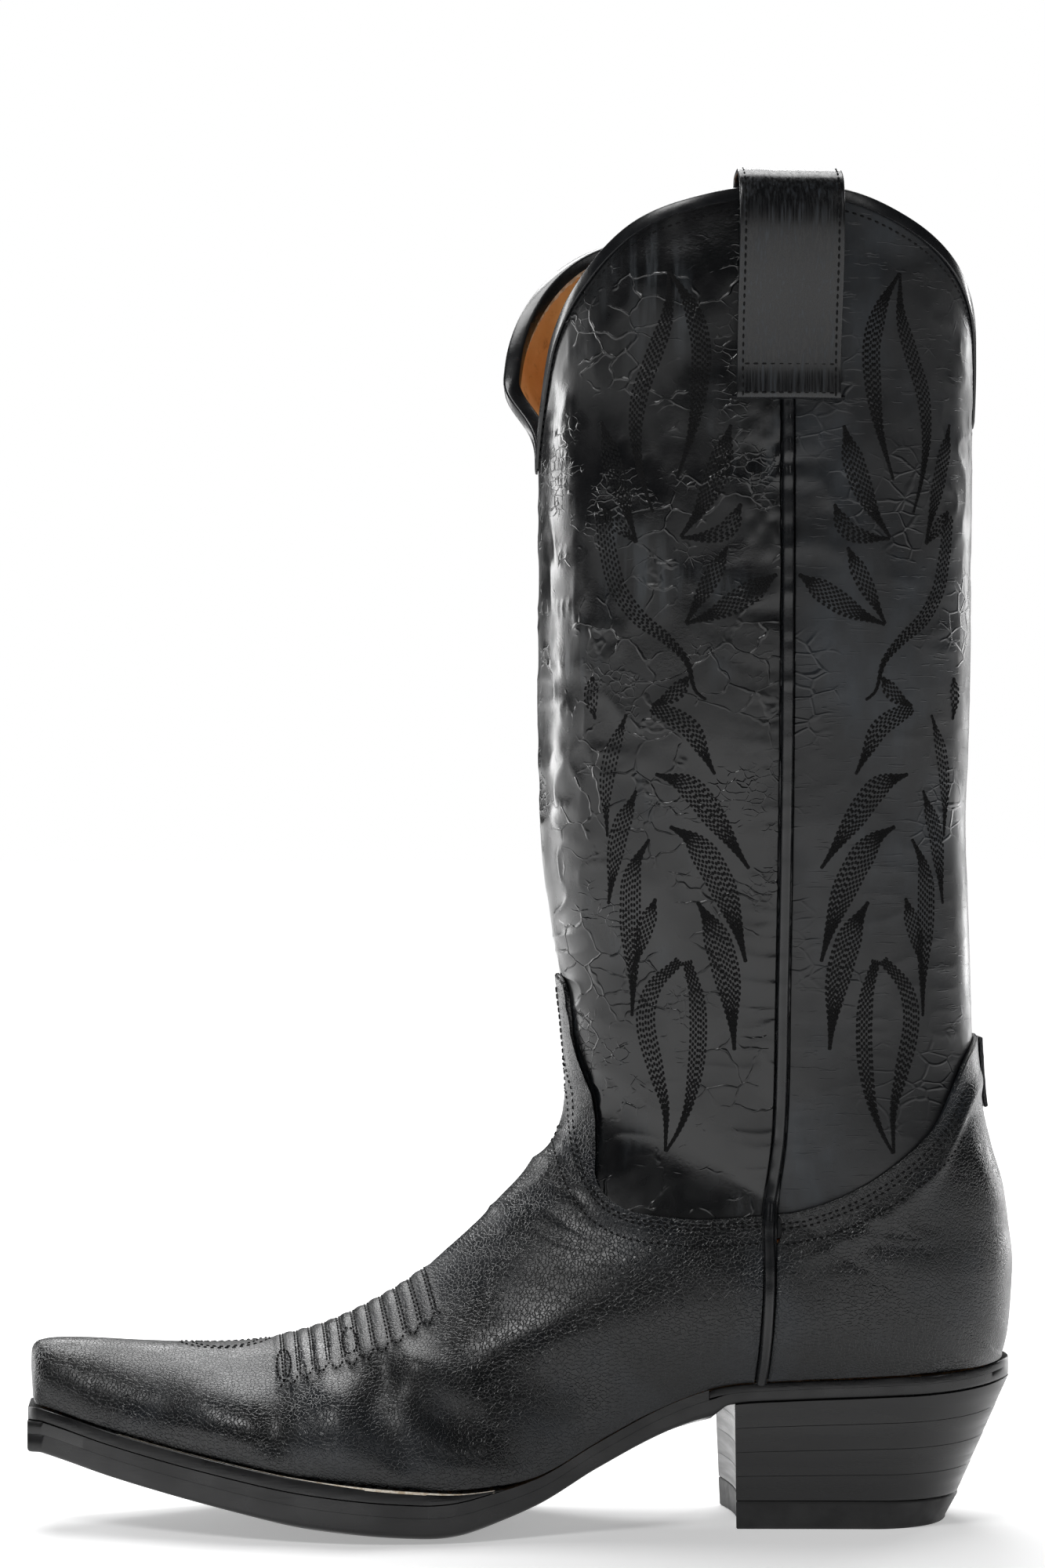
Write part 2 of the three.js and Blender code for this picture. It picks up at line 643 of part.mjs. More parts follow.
const weltDepth = curve([[-141, WELT + GAP], [-32, WELT + GAP], [-8, 0.9], [2, GAP], [60, GAP]]);
const midsoleTop = (x) => feather(x) - (x < 0 ? Math.max(weltDepth(x), GAP) : GAP);
const midsoleBottom = (x) => midsoleTop(x) - mix(MIDSOLE, MIDSOLE_WAIST, smooth(x, -20, 20));
const seat = (x) => smooth(x, BREAST_X - 4, BREAST_X + 1);
const outsoleTop = (x) => mix(midsoleBottom(x) - GAP, feather(x) - RAND - GAP, seat(x));
const ridge = curve([[-60, 0], [20, 0], [34, 1], [46, 3.4], [55, 4.4], [56, 4.5]]);
const outsoleThick = (x) => mix(mix(OUTSOLE, OUTSOLE_WAIST, smooth(x, -25, 10)), OUTSOLE_SEAT, seat(x));

function outsoleBottom(x, s) {
  const crown = 1 - s ** 4;
  const ball = 3.1 * smooth(x, -110, -60) * smooth(x, 5, -15);
  const belly = ball + ridge(Math.min(x, 56)) * (1 - seat(x)) * (1 - s * s);
  return Math.max(outsoleTop(x) - outsoleThick(x) - ball * crown - (belly - ball), 0);
}

function flatPlate(xs, across, grow, top, bottom) {
  const grid = (height) => xs.map((base) => across.map((s) => {
    const [x, y] = underfoot(base, s, grow);
    return new THREE.Vector3(x * stretch, y, height(x, s));
  }));
  return slab(grid(top), grid(bottom));
}

function bottom(group, holes) {
  const three = [-1, 0, 1];
  const five = [-1, -0.6, 0, 0.6, 1];
  const inset = -(SHAFT_LEATHER + LINING_LEATHER + 1.2);
  const onto = (a) => (x) => feather(x) + a;
  const board = flatPlate(stations(TOE_X + 4.5, HEEL_X - 4.5), three, inset, onto(GAP + INSOLE), onto(GAP));
  const groove = strip(SHANK_HALF + GAP, GAP, onto(2 * GAP + SHANK), onto(-GAP));
  group.add(mesh('insole', cut(board, [groove, ...holes.nails]), 0xb08a5c, 0.8));
  const sockLow = 2 * GAP + INSOLE;
  group.add(mesh('sock_liner', flatPlate(stations(SOCK_FROM, HEEL_X - 6), three, inset - 0.8,
    onto(sockLow + SOCK), onto(sockLow)), TAN, 0.7));
  const mid = flatPlate(stations(TOE_X, BREAST_X - 5), three, edgeReach, midsoleTop, midsoleBottom);
  group.add(mesh('midsole', cut(mid, holes.pegs), 0x1a1512, 0.6));
  const out = flatPlate(stations(TOE_X, HEEL_X - 0.05), five, edgeReach, outsoleTop, outsoleBottom);
  group.add(mesh('outsole', cut(out, [...holes.pegs, ...holes.nails]), 0x14100e, 0.5));
  group.add(mesh('welt', welt(), 0x17120f, 0.5));
  group.add(mesh('heel_rand', heelRand(), 0x17120f, 0.5));
  const core = flatPlate(stations(TOE_X + 3 * WELT_REACH, CORK_END), three, -WELT_REACH - 1.4,
    (x) => feather(x) - GAP, (x) => midsoleTop(x) + GAP);
  group.add(mesh('cork_filler', core, 0x8a5f38, 0.95));
  const seatFill = flatPlate(stations(BREAST_X + 6, HEEL_X - 8), three, -WELT_REACH,
    (x) => feather(x) - GAP, (x) => outsoleTop(x) + GAP);
  group.add(mesh('seat_filler', cut(seatFill, holes.nails), 0x8a5f38, 0.95));
  group.add(mesh('shank', strip(SHANK_HALF, 0, onto(GAP + SHANK), onto(GAP)), 0x8d9095, 0.4, 1));
}

// A flat strip along the middle of the waist.
function strip(half, past, top, bottom) {
  const xs = stations(SHANK_ENDS[0] - past, SHANK_ENDS[1] + past);
  const grid = (height) => xs.map((x) => [-half, 0, half].map(
    (y) => new THREE.Vector3(x * stretch, y, height(x))));
  return slab(grid(top), grid(bottom));
}

const SHANK = 1.2;
const SHANK_HALF = 6;
const SHANK_ENDS = [-12, 88];

const SOCK_FROM = 10;
const CORK_END = -30;

// A band under the edge of the upper. Stops give the outline point, its outward axis and its depth.
function band(stops, inner, outer, depth) {
  const over = [];
  const under = [];
  for (const { x, y, nx, ny } of stops) {
    const at = (reach, deep) => {
      const px = x + nx * reach;
      return new THREE.Vector3(px * stretch, y + ny * reach, feather(px) - deep(px));
    };
    over.push([at(-inner, () => 0), at(outer(x), () => 0)]);
    under.push([at(-inner, depth), at(outer(x), depth)]);
  }
  return slab(over, under);
}

// Outline points of the foot with their outward axes, along a run of [x, side].
function outlineStops(run) {
  const points = run.map(([x, s]) => [x, s * bottomHalf(x, s) + toeSwing(x)]);
  return points.map(([x, y], i) => {
    const a = points[Math.max(i - 1, 0)];
    const b = points[Math.min(i + 1, points.length - 1)];
    const length = Math.hypot(b[0] - a[0], b[1] - a[1]);
    return { x, y, nx: (b[1] - a[1]) / length, ny: -(b[0] - a[0]) / length };
  });
}

function welt() {
  const xs = stations(TOE_X, WELT_END);
  const run = [...xs.toReversed().map((x) => [x, 1]), ...xs.map((x) => [x, -1])];
  return band(outlineStops(run), WELT_REACH, edgeReach, (x) => Math.max(weltDepth(x) - 2 * GAP, 0.5));
}

function heelRand() {
  const xs = stations(BREAST_X + 4, HEEL_X - 0.4);
  const run = [...xs.map((x) => [x, -1]), ...xs.toReversed().map((x) => [x, 1])];
  return band(outlineStops(run), 6, edgeReach, () => RAND);
}

// The heel: underslung, so each lift's outline draws in at the back and the sides towards the floor.
const HEEL_FOOT_X = 126;
const HEEL_FOOT_HALF = 25;
const heelTop = (x) => outsoleTop(x) - OUTSOLE_SEAT - GAP;

const HEEL_ENDS = [BREAST_X + 2.5, HEEL_X - 0.05];
const CAP_PART = 0.2;

function heelPoint(base, s, part, z) {
  const [topX, topY] = underfoot(base, s, edgeReach);
  const q = (base - HEEL_ENDS[0]) / (HEEL_ENDS[1] - HEEL_ENDS[0]);
  const x = mix(mix(BREAST_X + 3.5, HEEL_FOOT_X, q), topX, part);
  const hollow = 2.2 * (1 - s * s) * smooth(q, 0.25, 0);
  const y = topY * mix(HEEL_FOOT_HALF / 31, 1, part ** 0.9);
  return new THREE.Vector3((x + hollow) * stretch, y, z(topX));
}

// A layer of the heel between two heights, each a share of the whole and a way to find z.
function heelLayer(top, low) {
  const across = [-1, 0, 1];
  const xs = stations(...HEEL_ENDS).filter((x, i) => i % 2 === 0 || x > 120);
  const grid = ([part, z]) => xs.map((base) => across.map((s) => heelPoint(base, s, part, z)));
  return slab(grid(top), grid(low));
}

function heel(group, holes) {
  const level = (share, shift) => [mix(CAP_PART, 1, share),
    (x) => mix(HEEL_CAP + GAP, heelTop(x), share) + shift];
  for (let i = 0; i < LIFTS; i += 1) {
    const top = level((i + 1) / LIFTS, i + 1 < LIFTS ? -GAP : 0);
    const tools = i === 0 ? [...holes.nails, ...holes.caps] : holes.nails;
    const lift = cut(heelLayer(top, level(i / LIFTS, 0)), tools);
    group.add(mesh(`heel_lift_${i + 1}`, lift, 0x15110f, 0.5));
  }
  const cap = heelLayer([CAP_PART * 0.95, () => HEEL_CAP], [0, () => 0]);
  group.add(mesh('heel_cap', cut(cap, holes.caps), 0x0c0c0d, 0.7));
}

function rod(radius, low, high, x, y, sides = 8) {
  const made = new THREE.LatheGeometry([new THREE.Vector2(0, low), new THREE.Vector2(radius, low),
    new THREE.Vector2(radius, high), new THREE.Vector2(0, high)], sides);
  made.rotateX(Math.PI / 2);
  made.translate(x * stretch, y, 0);
  made.deleteAttribute('uv');
  made.deleteAttribute('normal');
  return mergeVertices(made, 1e-4);
}

function peg(x, y, low, high, width) {
  const made = new THREE.BoxGeometry(width, width, high - low);
  made.translate(x * stretch, y, (low + high) / 2);
  made.deleteAttribute('uv');
  made.deleteAttribute('normal');
  return mergeVertices(made, 1e-4);
}

const NAILS = [[72, -16], [72, 16], [94, -20], [94, 20], [116, 0]];
const CAP_NAILS = [[70, -14], [70, 14], [100, -14], [100, 14]];
const PEG_XS = [14, 23, 32, 41];
const PEG_SPREAD = 0.62;

function fasteners(group) {
  const holes = { nails: [], caps: [], pegs: [] };
  const steel = (name, geometry) => group.add(mesh(name, geometry, 0x9a9ca0, 0.35, 1));
  const low = HEEL_CAP + GAP + 1;
  NAILS.forEach(([x, y], i) => {
    const high = feather(x) + GAP + INSOLE - 0.5;
    steel(`heel_nail_${i + 1}`, rod(NAIL_RADIUS, low, high, x, y));
    holes.nails.push(rod(NAIL_RADIUS + GAP, low - GAP, high + GAP, x, y));
  });
  CAP_NAILS.forEach(([x, y], i) => {
    steel(`cap_nail_${i + 1}`, rod(NAIL_RADIUS, 2.5, HEEL_CAP + 5, x, y));
    holes.caps.push(rod(NAIL_RADIUS + GAP, 2.2, HEEL_CAP + 5 + GAP, x, y));
  });
  PEG_XS.forEach((x, i) => {
    for (const side of [-1, 1]) {
      const y = side * bottomHalf(x, side) * PEG_SPREAD;
      const bottomZ = outsoleBottom(x, PEG_SPREAD) + 0.2;
      const topZ = midsoleTop(x) - 0.4;
      const name = `sole_peg_${side < 0 ? 'outer' : 'inner'}_${i + 1}`;
      group.add(mesh(name, peg(x, y, bottomZ, topZ, PEG), 0x2a211a, 0.7));
      holes.pegs.push(peg(x, y, bottomZ - 6, topZ + 4, PEG + 2 * GAP));
    }
  });
  return holes;
}

const boot = new THREE.Group();
const holes = fasteners(boot);
shaft(boot);
foot(boot);
for (const [name, side] of [['outer', -1], ['inner', 1]]) {
  boot.add(mesh(`side_welt_${name}`, sideWelt(side), BLACK, 0.35));
  boot.add(mesh(`pull_strap_${name}`, pullStrap(side), BLACK, 0.35));
}
bottom(boot, holes);
heel(boot, holes);

const box = new THREE.Box3().setFromObject(boot);
const middle = box.getCenter(new THREE.Vector3());
for (const piece of boot.children) piece.geometry.translate(-middle.x, -middle.y, -box.min.z);

export default boot;
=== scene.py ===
# A black cowboy boot on a pale floor. The upper is one smooth form, as in the CAD: rings that stand
# upright at the toe and lie flat in the shaft. u counts rings and v runs from the crest (0) to the bottom
# edge or the back of the leg (1). side is -1 on the outer side and 1 on the inner side. Lengths are in
# millimetres until a mesh is made.

import math
import bpy
import numpy as np
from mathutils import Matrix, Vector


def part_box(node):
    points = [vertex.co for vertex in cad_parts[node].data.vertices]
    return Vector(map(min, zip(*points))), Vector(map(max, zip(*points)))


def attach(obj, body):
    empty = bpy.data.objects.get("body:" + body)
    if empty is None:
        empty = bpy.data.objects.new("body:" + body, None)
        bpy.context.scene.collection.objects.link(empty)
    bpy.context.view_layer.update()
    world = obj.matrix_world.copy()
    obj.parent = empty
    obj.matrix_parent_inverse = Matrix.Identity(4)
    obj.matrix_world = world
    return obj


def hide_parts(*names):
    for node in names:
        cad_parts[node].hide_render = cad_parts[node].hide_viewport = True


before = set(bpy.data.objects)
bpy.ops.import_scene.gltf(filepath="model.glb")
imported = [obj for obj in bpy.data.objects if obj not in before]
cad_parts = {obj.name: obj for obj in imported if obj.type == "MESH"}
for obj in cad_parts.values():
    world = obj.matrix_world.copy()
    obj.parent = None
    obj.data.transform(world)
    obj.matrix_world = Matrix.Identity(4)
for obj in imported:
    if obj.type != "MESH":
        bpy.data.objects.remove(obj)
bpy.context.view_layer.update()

# ---------------------------------------------------------------- the form

GAP = 0.3
LAP_GAP = 1.2
SEAT_GAP = 0.6
SHAFT_LEATHER = 1.6
LINING_LEATHER = 1.0
VAMP_LEATHER = 1.6
VAMP_OUT = LAP_GAP + VAMP_LEATHER
LINING_OUT = -SHAFT_LEATHER - GAP
SEAM_HALF = 2.0
SEAM_X = 73.2
BREAST_X = 58.0
TOE_X = -140.5
HEEL_X = 142.0
HEEL_RING = 19
FOOT_EDGE = 0.985
TOE_RING = 0.12
SEAT_CENTRE = 112.0
SEAT_RADIUS = HEEL_X - SEAT_CENTRE

# crest x, crest z, lower end x, lower end z, greatest half width
RINGS = np.array([
    [-140.5, 35, -140.5, 35, 9.6], [-141.3, 48.2, -137.5, 34.4, 10.6], [-139.3, 50.9, -132, 32.9, 13.2],
    [-128, 51.2, -123, 30.1, 18.2], [-110, 50.3, -106, 26.2, 26], [-90, 49.8, -88, 22.6, 34.5],
    [-72, 51.2, -70, 19.3, 41], [-56, 55.4, -52, 17, 44.5], [-40, 63, -34, 15.3, 45],
    [-27, 71.5, -16, 14.3, 42.5], [-15, 83, 2, 17, 38], [-5, 94, 20, 26.4, 34.5],
    [4, 103.5, 38, 35.6, 33.5], [10.5, 111, 56, 42, 33.6], [13.5, 117.5, 76, 43.7, 34.4],
    [14.6, 124, 98, 44.5, 35], [14.6, 129, 118, 45.5, 35.4], [14.3, 133, 132, 46.7, 35.8],
    [14, 136, 138.6, 47.7, 36], [13.8, 139, 140, 50, 36.4], [13.5, 142, 141.6, 58, 36.8],
    [13.1, 146, 142.6, 70, 37.2], [12.7, 150, 143, 84, 37.8], [12.2, 154, 141.5, 98, 38.4],
    [11.8, 158, 138, 110, 39], [11.2, 163, 135.2, 122, 39.8], [10.5, 168, 134, 136, 40.8],
    [9.5, 174, 133.4, 150, 42.2], [8.6, 182, 133, 165, 44], [7.4, 195, 132.2, 184, 46.4],
    [6.6, 212, 131.5, 205, 49], [6, 232, 132.4, 228, 51], [5.5, 255, 133.2, 253, 52.2],
    [5.4, 285, 133.4, 284, 52.8], [5.4, 320, 133.8, 320, 53], [5.6, 355, 134, 355, 53],
    [6, 392, 134, 392, 53],
], float)
LAST_RING = len(RINGS) - 1
LIP_LEAN = 10.5
LOW_SHARE = 0.985


def mix(a, b, t):
    return a + (b - a) * t


def smooth(x, start, end):
    """A soft step from 0 at the start to 1 at the end."""
    t = np.clip((np.asarray(x, float) - start) / (end - start), 0, 1)
    return t * t * (3 - 2 * t)


def unit(rows):
    return rows / np.linalg.norm(rows, axis=-1, keepdims=True)


def lengths(line):
    """The length run from a line's start to each of its points."""
    return np.concatenate([[0], np.cumsum(np.linalg.norm(np.diff(line, axis=0), axis=1))])


def curve(knots):
    """A smooth curve through [x, y] knots, level past its ends."""
    knots = np.array(knots, float)
    xs, ys = knots[:, 0], knots[:, 1]
    count = np.arange(len(xs))
    before = np.maximum(count - 1, 0)
    after = np.minimum(count + 1, len(xs) - 1)
    slope = (ys[after] - ys[before]) / (xs[after] - xs[before])

    def at(x):
        x = np.clip(np.asarray(x, float), xs[0], xs[-1])
        i = np.clip(np.searchsorted(xs, x, side="left") - 1, 0, len(xs) - 2)
        h = xs[i + 1] - xs[i]
        t = (x - xs[i]) / h
        bend = t * t * (3 - 2 * t)
        lead = slope[i] * h * t * (1 - t) ** 2
        trail = slope[i + 1] * h * t * t * (1 - t)
        return ys[i] + (ys[i + 1] - ys[i]) * bend + lead - trail

    return at


crest_x, crest_z, foot_x, foot_z, widest = [
    curve(np.stack([np.arange(len(RINGS)), RINGS[:, k]], 1)) for k in range(5)]
skew = curve([[0, 0], [7, 0], [10, -0.12], [19, -0.12], [26, -0.06], [31, 0], [36, 0]])
fullness = curve([[0, 0.02], [4, -0.05], [7, -0.1], [9, -0.08], [12, 0], [19, 0.1], [26, 0.07], [31, 0.04],
                  [36, 0.04]])
feather = curve([[-141, 35], [-123, 30.1], [-106, 26.2], [-88, 22.6], [-70, 19.3], [-52, 17], [-34, 15.3],
                 [-16, 14.3], [2, 17], [20, 26.4], [38, 35.6], [50, 40.3], [60, 42.6], [78, 43.7],
                 [98, 44.5], [118, 45.5], [132, 46.7], [142, 48]])
outer_half = curve([[-141, 9], [-132, 12.5], [-120, 19.5], [-100, 28.5], [-80, 36], [-60, 41.5],
                    [-42, 43.5], [-20, 42], [5, 35], [30, 29.5], [55, 28], [80, 29], [112, 31]])
inner_half = curve([[-141, 9], [-132, 12], [-120, 17.5], [-100, 27], [-80, 37], [-60, 42.5],
                    [-42, 41.5], [-20, 35], [5, 27.5], [30, 25.5], [55, 26.5], [80, 29], [112, 31]])


def bottom_half(x, side):
    half = np.where(np.asarray(side) < 0, outer_half(x), inner_half(x))
    back = np.clip((x - SEAT_CENTRE) / SEAT_RADIUS, 0, 1)
    return half * np.sqrt(1 - back * back)


def toe_swing(x):
    return 5 * np.clip((-20 - np.asarray(x, float)) / 121, 0, 1) ** 2


def ring_end(u, side):
    """A ring's half width, its half width and angle at the lower end, and how late it turns in to it."""
    half = widest(u)
    low = np.minimum(bottom_half(foot_x(u), side), half * LOW_SHARE)
    closed = smooth(u, 9, 17.5)
    end = np.pi - np.arcsin(np.clip(low / half, 0, 1)) * (1 - closed)
    return half, low * smooth(u, HEEL_RING, HEEL_RING - 2), end, mix(3.0, 9.0, closed)


def form(u, v, side):
    u, v = np.asarray(u, float), np.asarray(v, float)
    half, low, end, power = ring_end(u, side)
    scale = half / (1 - fullness(u))

    def wave(a):
        return np.sin(a) + skew(u) * np.sin(2 * a) + fullness(u) * np.sin(3 * a)

    angle = v * end
    t = (1 - np.cos(angle)) / (1 - np.cos(end))
    y = scale * wave(angle) + (low - scale * wave(end)) * np.maximum(v, 0) ** power
    x = mix(crest_x(u), foot_x(u), t)
    z = mix(crest_z(u), foot_z(u), t)
    lip = np.where(np.asarray(side) > 0, 1.0, 0.0) * smooth(z, 312, 338) * smooth(v, 0, 0.07)
    return np.stack([x - LIP_LEAN * lip * smooth(v, 0.55, 0.18), side * y + toe_swing(x), z], -1)


def normal_at(u, v, side):
    a = np.clip(u, 0.4, LAST_RING - 0.1)
    b = np.clip(v, 0, np.where(a < HEEL_RING, 0.97, 1.0))
    du = form(a + 0.05, b, side) - form(a - 0.05, b, side)
    dv = form(a, b + 0.01, side) - form(a, b - 0.01, side)
    return unit(np.cross(du, dv)) * np.where(np.asarray(side) < 0, -1, 1)[..., None]


def on_form(u, v, side, offset):
    p = form(u, v, side) + normal_at(u, v, side) * np.asarray(offset)[..., None]
    p[..., 2] = np.maximum(p[..., 2], feather(p[..., 0]) + SEAT_GAP)
    return p


def locate(x, z):
    """The u and v of side-view points: the ring whose straight side view passes through each."""
    x, z = np.broadcast_arrays(np.asarray(x, float), np.asarray(z, float))
    low = np.full(x.shape, 0.5)
    high = np.full(x.shape, float(LAST_RING))
    for _ in range(40):
        u = (low + high) / 2
        dx = foot_x(u) - crest_x(u)
        dz = foot_z(u) - crest_z(u)
        above = dx * (z - crest_z(u)) - dz * (x - crest_x(u)) > 0
        low = np.where(above, u, low)
        high = np.where(above, high, u)
    u = (low + high) / 2
    dx = foot_x(u) - crest_x(u)
    dz = foot_z(u) - crest_z(u)
    t = ((x - crest_x(u)) * dx + (z - crest_z(u)) * dz) / (dx * dx + dz * dz)
    end = ring_end(u, -1)[2]
    return u, np.arccos(np.clip(1 - t * (1 - np.cos(end)), -1, 1)) / end


def path(points, count):
    """Points spread evenly by length along a smooth line."""
    p = np.array(points, float)
    t = lengths(p)
    dense = np.linspace(0, t[-1], 40 * len(p))
    line = np.stack([curve(np.stack([t, p[:, k]], 1))(dense) for k in range(p.shape[1])], 1)
    run = lengths(line)
    at = np.linspace(0, run[-1], count)
    return np.stack([np.interp(at, run, line[:, k]) for k in range(p.shape[1])], 1)


SIDE_SEAM = [[67.5, 42], [69.5, 70], [70, 93], [72.7, 116], [73.2, 150], [73.2, 392]]
VAMP_EDGE = [[12, 161], [13.3, 157], [14.6, 145], [16.2, 134.7], [18, 126], [18.2, 116], [19.2, 106.5],
             [21.4, 100.5], [25, 96], [31, 93], [41, 91.6], [50.6, 91.1], [68, 92.3]]
VAMP_LAP = [[13.6, 119], [16, 107], [19, 98], [24, 91], [31, 87], [41, 85], [55, 84.6], [68, 85.3]]
COUNTER_EDGE = [[72.2, 92.7], [79.4, 94.1], [88.5, 97.2], [96.6, 101.2], [103.9, 106], [111.3, 111.9],
                [117.8, 118.7], [123.3, 129], [127.5, 137], [133.5, 143]]
COUNTER_LAP = [[71.7, 85.5], [80, 87], [90, 90], [99, 94.5], [107, 100], [114.5, 106], [121, 113],
               [126.5, 121], [131, 128], [134.3, 133]]
seam_x = curve([[z, x] for x, z in SIDE_SEAM])
top_edge = curve([[0, 311], [0.05, 328], [0.1, 346], [0.19, 363.5], [0.29, 377.5], [0.4, 384.5],
                  [0.5, 387], [0.6, 386], [0.7, 379.5], [0.81, 369], [0.89, 358], [0.95, 346], [1, 325]])


def bisect(rising, low, high, shape):
    """Where a measure that rises from negative to positive crosses nought."""
    low = np.full(shape, float(low))
    high = np.full(shape, float(high))
    for _ in range(36):
        middle = (low + high) / 2
        below = rising(middle) < 0
        low = np.where(below, middle, low)
        high = np.where(below, high, middle)
    return (low + high) / 2


def seam_v(u, shift):
    def past(v):
        p = form(u, v, -1)
        return p[..., 0] - seam_x(p[..., 2]) - shift
    return bisect(past, 0.2, 1, np.shape(u))


def top_ring(v):
    return bisect(lambda u: form(u, v, -1)[..., 2] - top_edge(v), 25, LAST_RING, np.shape(v))


# ---------------------------------------------------------------- soft leather

def noise(p, seed):
    """Smooth noise from -1 to 1, the same on every run."""
    cell = np.floor(p).astype(np.int64)
    f = p - cell
    f = f * f * (3 - 2 * f)

    def corner(dx, dy, dz):
        h = (cell[..., 0] + dx) * 374761393 + (cell[..., 1] + dy) * 668265263
        h = h + (cell[..., 2] + dz) * 1440662683 + seed * 144665
        h = (h ^ (h >> 13)) * 1274126177
        h = h ^ (h >> 16)
        return (h & 0xffff) / 32767.5 - 1

    total = 0
    for dx in (0, 1):
        for dy in (0, 1):
            for dz in (0, 1):
                share = (f[..., 0] if dx else 1 - f[..., 0]) * (f[..., 1] if dy else 1 - f[..., 1])
                total = total + corner(dx, dy, dz) * share * (f[..., 2] if dz else 1 - f[..., 2])
    return total


def creases(p, size, seed):
    """Sharp crests between soft cells, from 0 to 1."""
    warp = np.stack([noise(p / 23, seed + k) for k in (1, 2, 3)], -1) * 4
    q = (p + warp) / np.array(size)
    return (1 - np.abs(noise(q, seed))) ** 3


def shaft_relief(u, v, side):
    p = form(u, v, side)
    x, z = p[..., 0], p[..., 2]
    near_seam = np.exp(-((x - seam_x(z)) / 13) ** 2)
    front = smooth(x, 60, 10)
    back = smooth(x, 112, 130)
    soft = noise(p / np.array([46, 46, 70]), 5) * 0.9
    folds = (creases(p, (11, 11, 7), 11) - 0.35) * 0.55
    high = smooth(z, 255, 300) * smooth(z, 350, 325)
    pucker = (creases(p, (16, 16, 3.6), 21) - 0.3) * 0.9 * near_seam
    share = 0.2 + 0.5 * np.maximum(front, back * smooth(z, 250, 300))
    calm = smooth(z, 95, 130) * smooth(z, top_edge(np.clip(v, 0, 1)) - 4, top_edge(np.clip(v, 0, 1)) - 16)
    ahead = np.where(x < seam_x(z), 0.55, 0.12)
    return (soft + folds * share + pucker * (ahead + high)) * calm


FOLDS = [
    # x and z of the middle, half length, half width, lean from upright in degrees, height
    (-30, 47, 15, 5.5, 118, 3.0), (-22, 36, 15, 6.5, 118, -3.4), (-42, 44, 12, 5, 15, -2.6),
    (-55, 37, 15, 8, 160, 2.6), (-72, 33, 14, 5, 168, -1.8), (-40, 30, 10, 6, 150, -2.0),
    (0, 56, 26, 9, 75, 1.8), (8, 40, 28, 9, 65, -1.5), (-12, 30, 16, 7, 65, 1.4),
    (-92, 38, 16, 9, 160, 1.2), (34, 62, 26, 13, 35, 1.0),
]


def lap_drop(z):
    """How much closer the foot's leathers lie where they lap the shaft."""
    return -1.1 * smooth(z, 74, 90)


def vamp_relief(u, v, side):
    p = form(u, v, side)
    x, z = p[..., 0], p[..., 2]
    total = noise(p / np.array([40, 34, 34]), 31) * 0.6
    for cx, cz, length, width, lean, height in FOLDS:
        a = math.radians(lean)
        along = (x - cx) * math.sin(a) + (z - cz) * math.cos(a)
        across = (x - cx) * math.cos(a) - (z - cz) * math.sin(a)
        across = across + noise(p / 24, 7) * 2
        total = total + height * np.exp(-(along / length) ** 2 - (across / width) ** 2)
    flank = smooth(v, 0.22, 0.42)
    throat = np.exp(-(((x - 3) / 20) ** 2 + ((z - 106) / 22) ** 2))
    wrinkle = (creases(p, (15, 15, 5), 41) - 0.35) * 1.1
    toe = smooth(x, -126, -104)
    edge = smooth(z - feather(x), 1.5, 8)
    ribs = rib_height(u, v)
    own = (total * flank * edge + wrinkle * throat) * toe * smooth(crest_gap(x, z), 0.5, 5)
    return own + ribs + lap_drop(z) + shaft_relief(u, v, side)


vamp_edge_z = curve([[12, 122], [18, 112], [21.4, 100.5], [25, 96], [31, 93], [41, 91.6], [68, 92.3]])


def crest_gap(x, z):
    """How far a point of the vamp lies below the edge that laps the shaft."""
    return np.where(x < 12, 20, vamp_edge_z(x) - 4 - z)


# the ribs and their stitching run along the crest, with a loop at two of them
BUG_FROM, BUG_LOOP, BUG_LOOP_2, BUG_TO = -73.0, -70.0, -50.5, -27.0
RIB = 4.3


def crest_drop(u, v):
    """How far a point lies below the crest of its ring."""
    end = ring_end(u, -1)[2]
    return (crest_z(u) - foot_z(u)) * (1 - np.cos(v * end)) / (1 - np.cos(end))


def at_drop(u, drop):
    """The v that lies that far below the crest."""
    end = ring_end(u, -1)[2]
    t = np.clip(drop / np.maximum(crest_z(u) - foot_z(u), 1), 0, 1)
    return np.arccos(1 - t * (1 - np.cos(end))) / end


def rib_reach(along):
    return 8.8 + 1.6 * smooth(along, -72, -30) - 0.9 * np.cos((along - BUG_LOOP) * 2 * np.pi / RIB)


def rib_height(u, v):
    """Raised ribs across the vamp between its double rows of stitching."""
    along = crest_x(u)
    reach = rib_reach(along)
    wide = smooth(crest_drop(u, v), reach + 2.5, reach - 0.5)
    wave = np.abs(np.sin(np.pi * (along - BUG_LOOP) / RIB)) ** 0.8
    return 0.75 * wave * wide * smooth(along, BUG_FROM, BUG_LOOP) * smooth(along, BUG_TO + 2, BUG_TO)


counter_edge_z = curve(COUNTER_EDGE)


def counter_relief(u, v, side):
    p = form(u, v, side)
    x, z = p[..., 0], p[..., 2]
    upper = smooth(z, 68, 92) * smooth(x, 130, 90)
    lines = (creases(p, (26, 26, 4), 61) - 0.3) * 0.7
    own = (noise(p / 34, 67) * 0.5 + lines * upper) * smooth(z - feather(x), 1.5, 8)
    below = smooth(counter_edge_z(x) - z, 4, 12)
    rolled = 0.9 * np.exp(-((counter_edge_z(x) - 13 - z) / 3.5) ** 2) * smooth(x, 74, 84)
    return own * below + rolled + lap_drop(z) + shaft_relief(u, v, side)


# ---------------------------------------------------------------- meshes

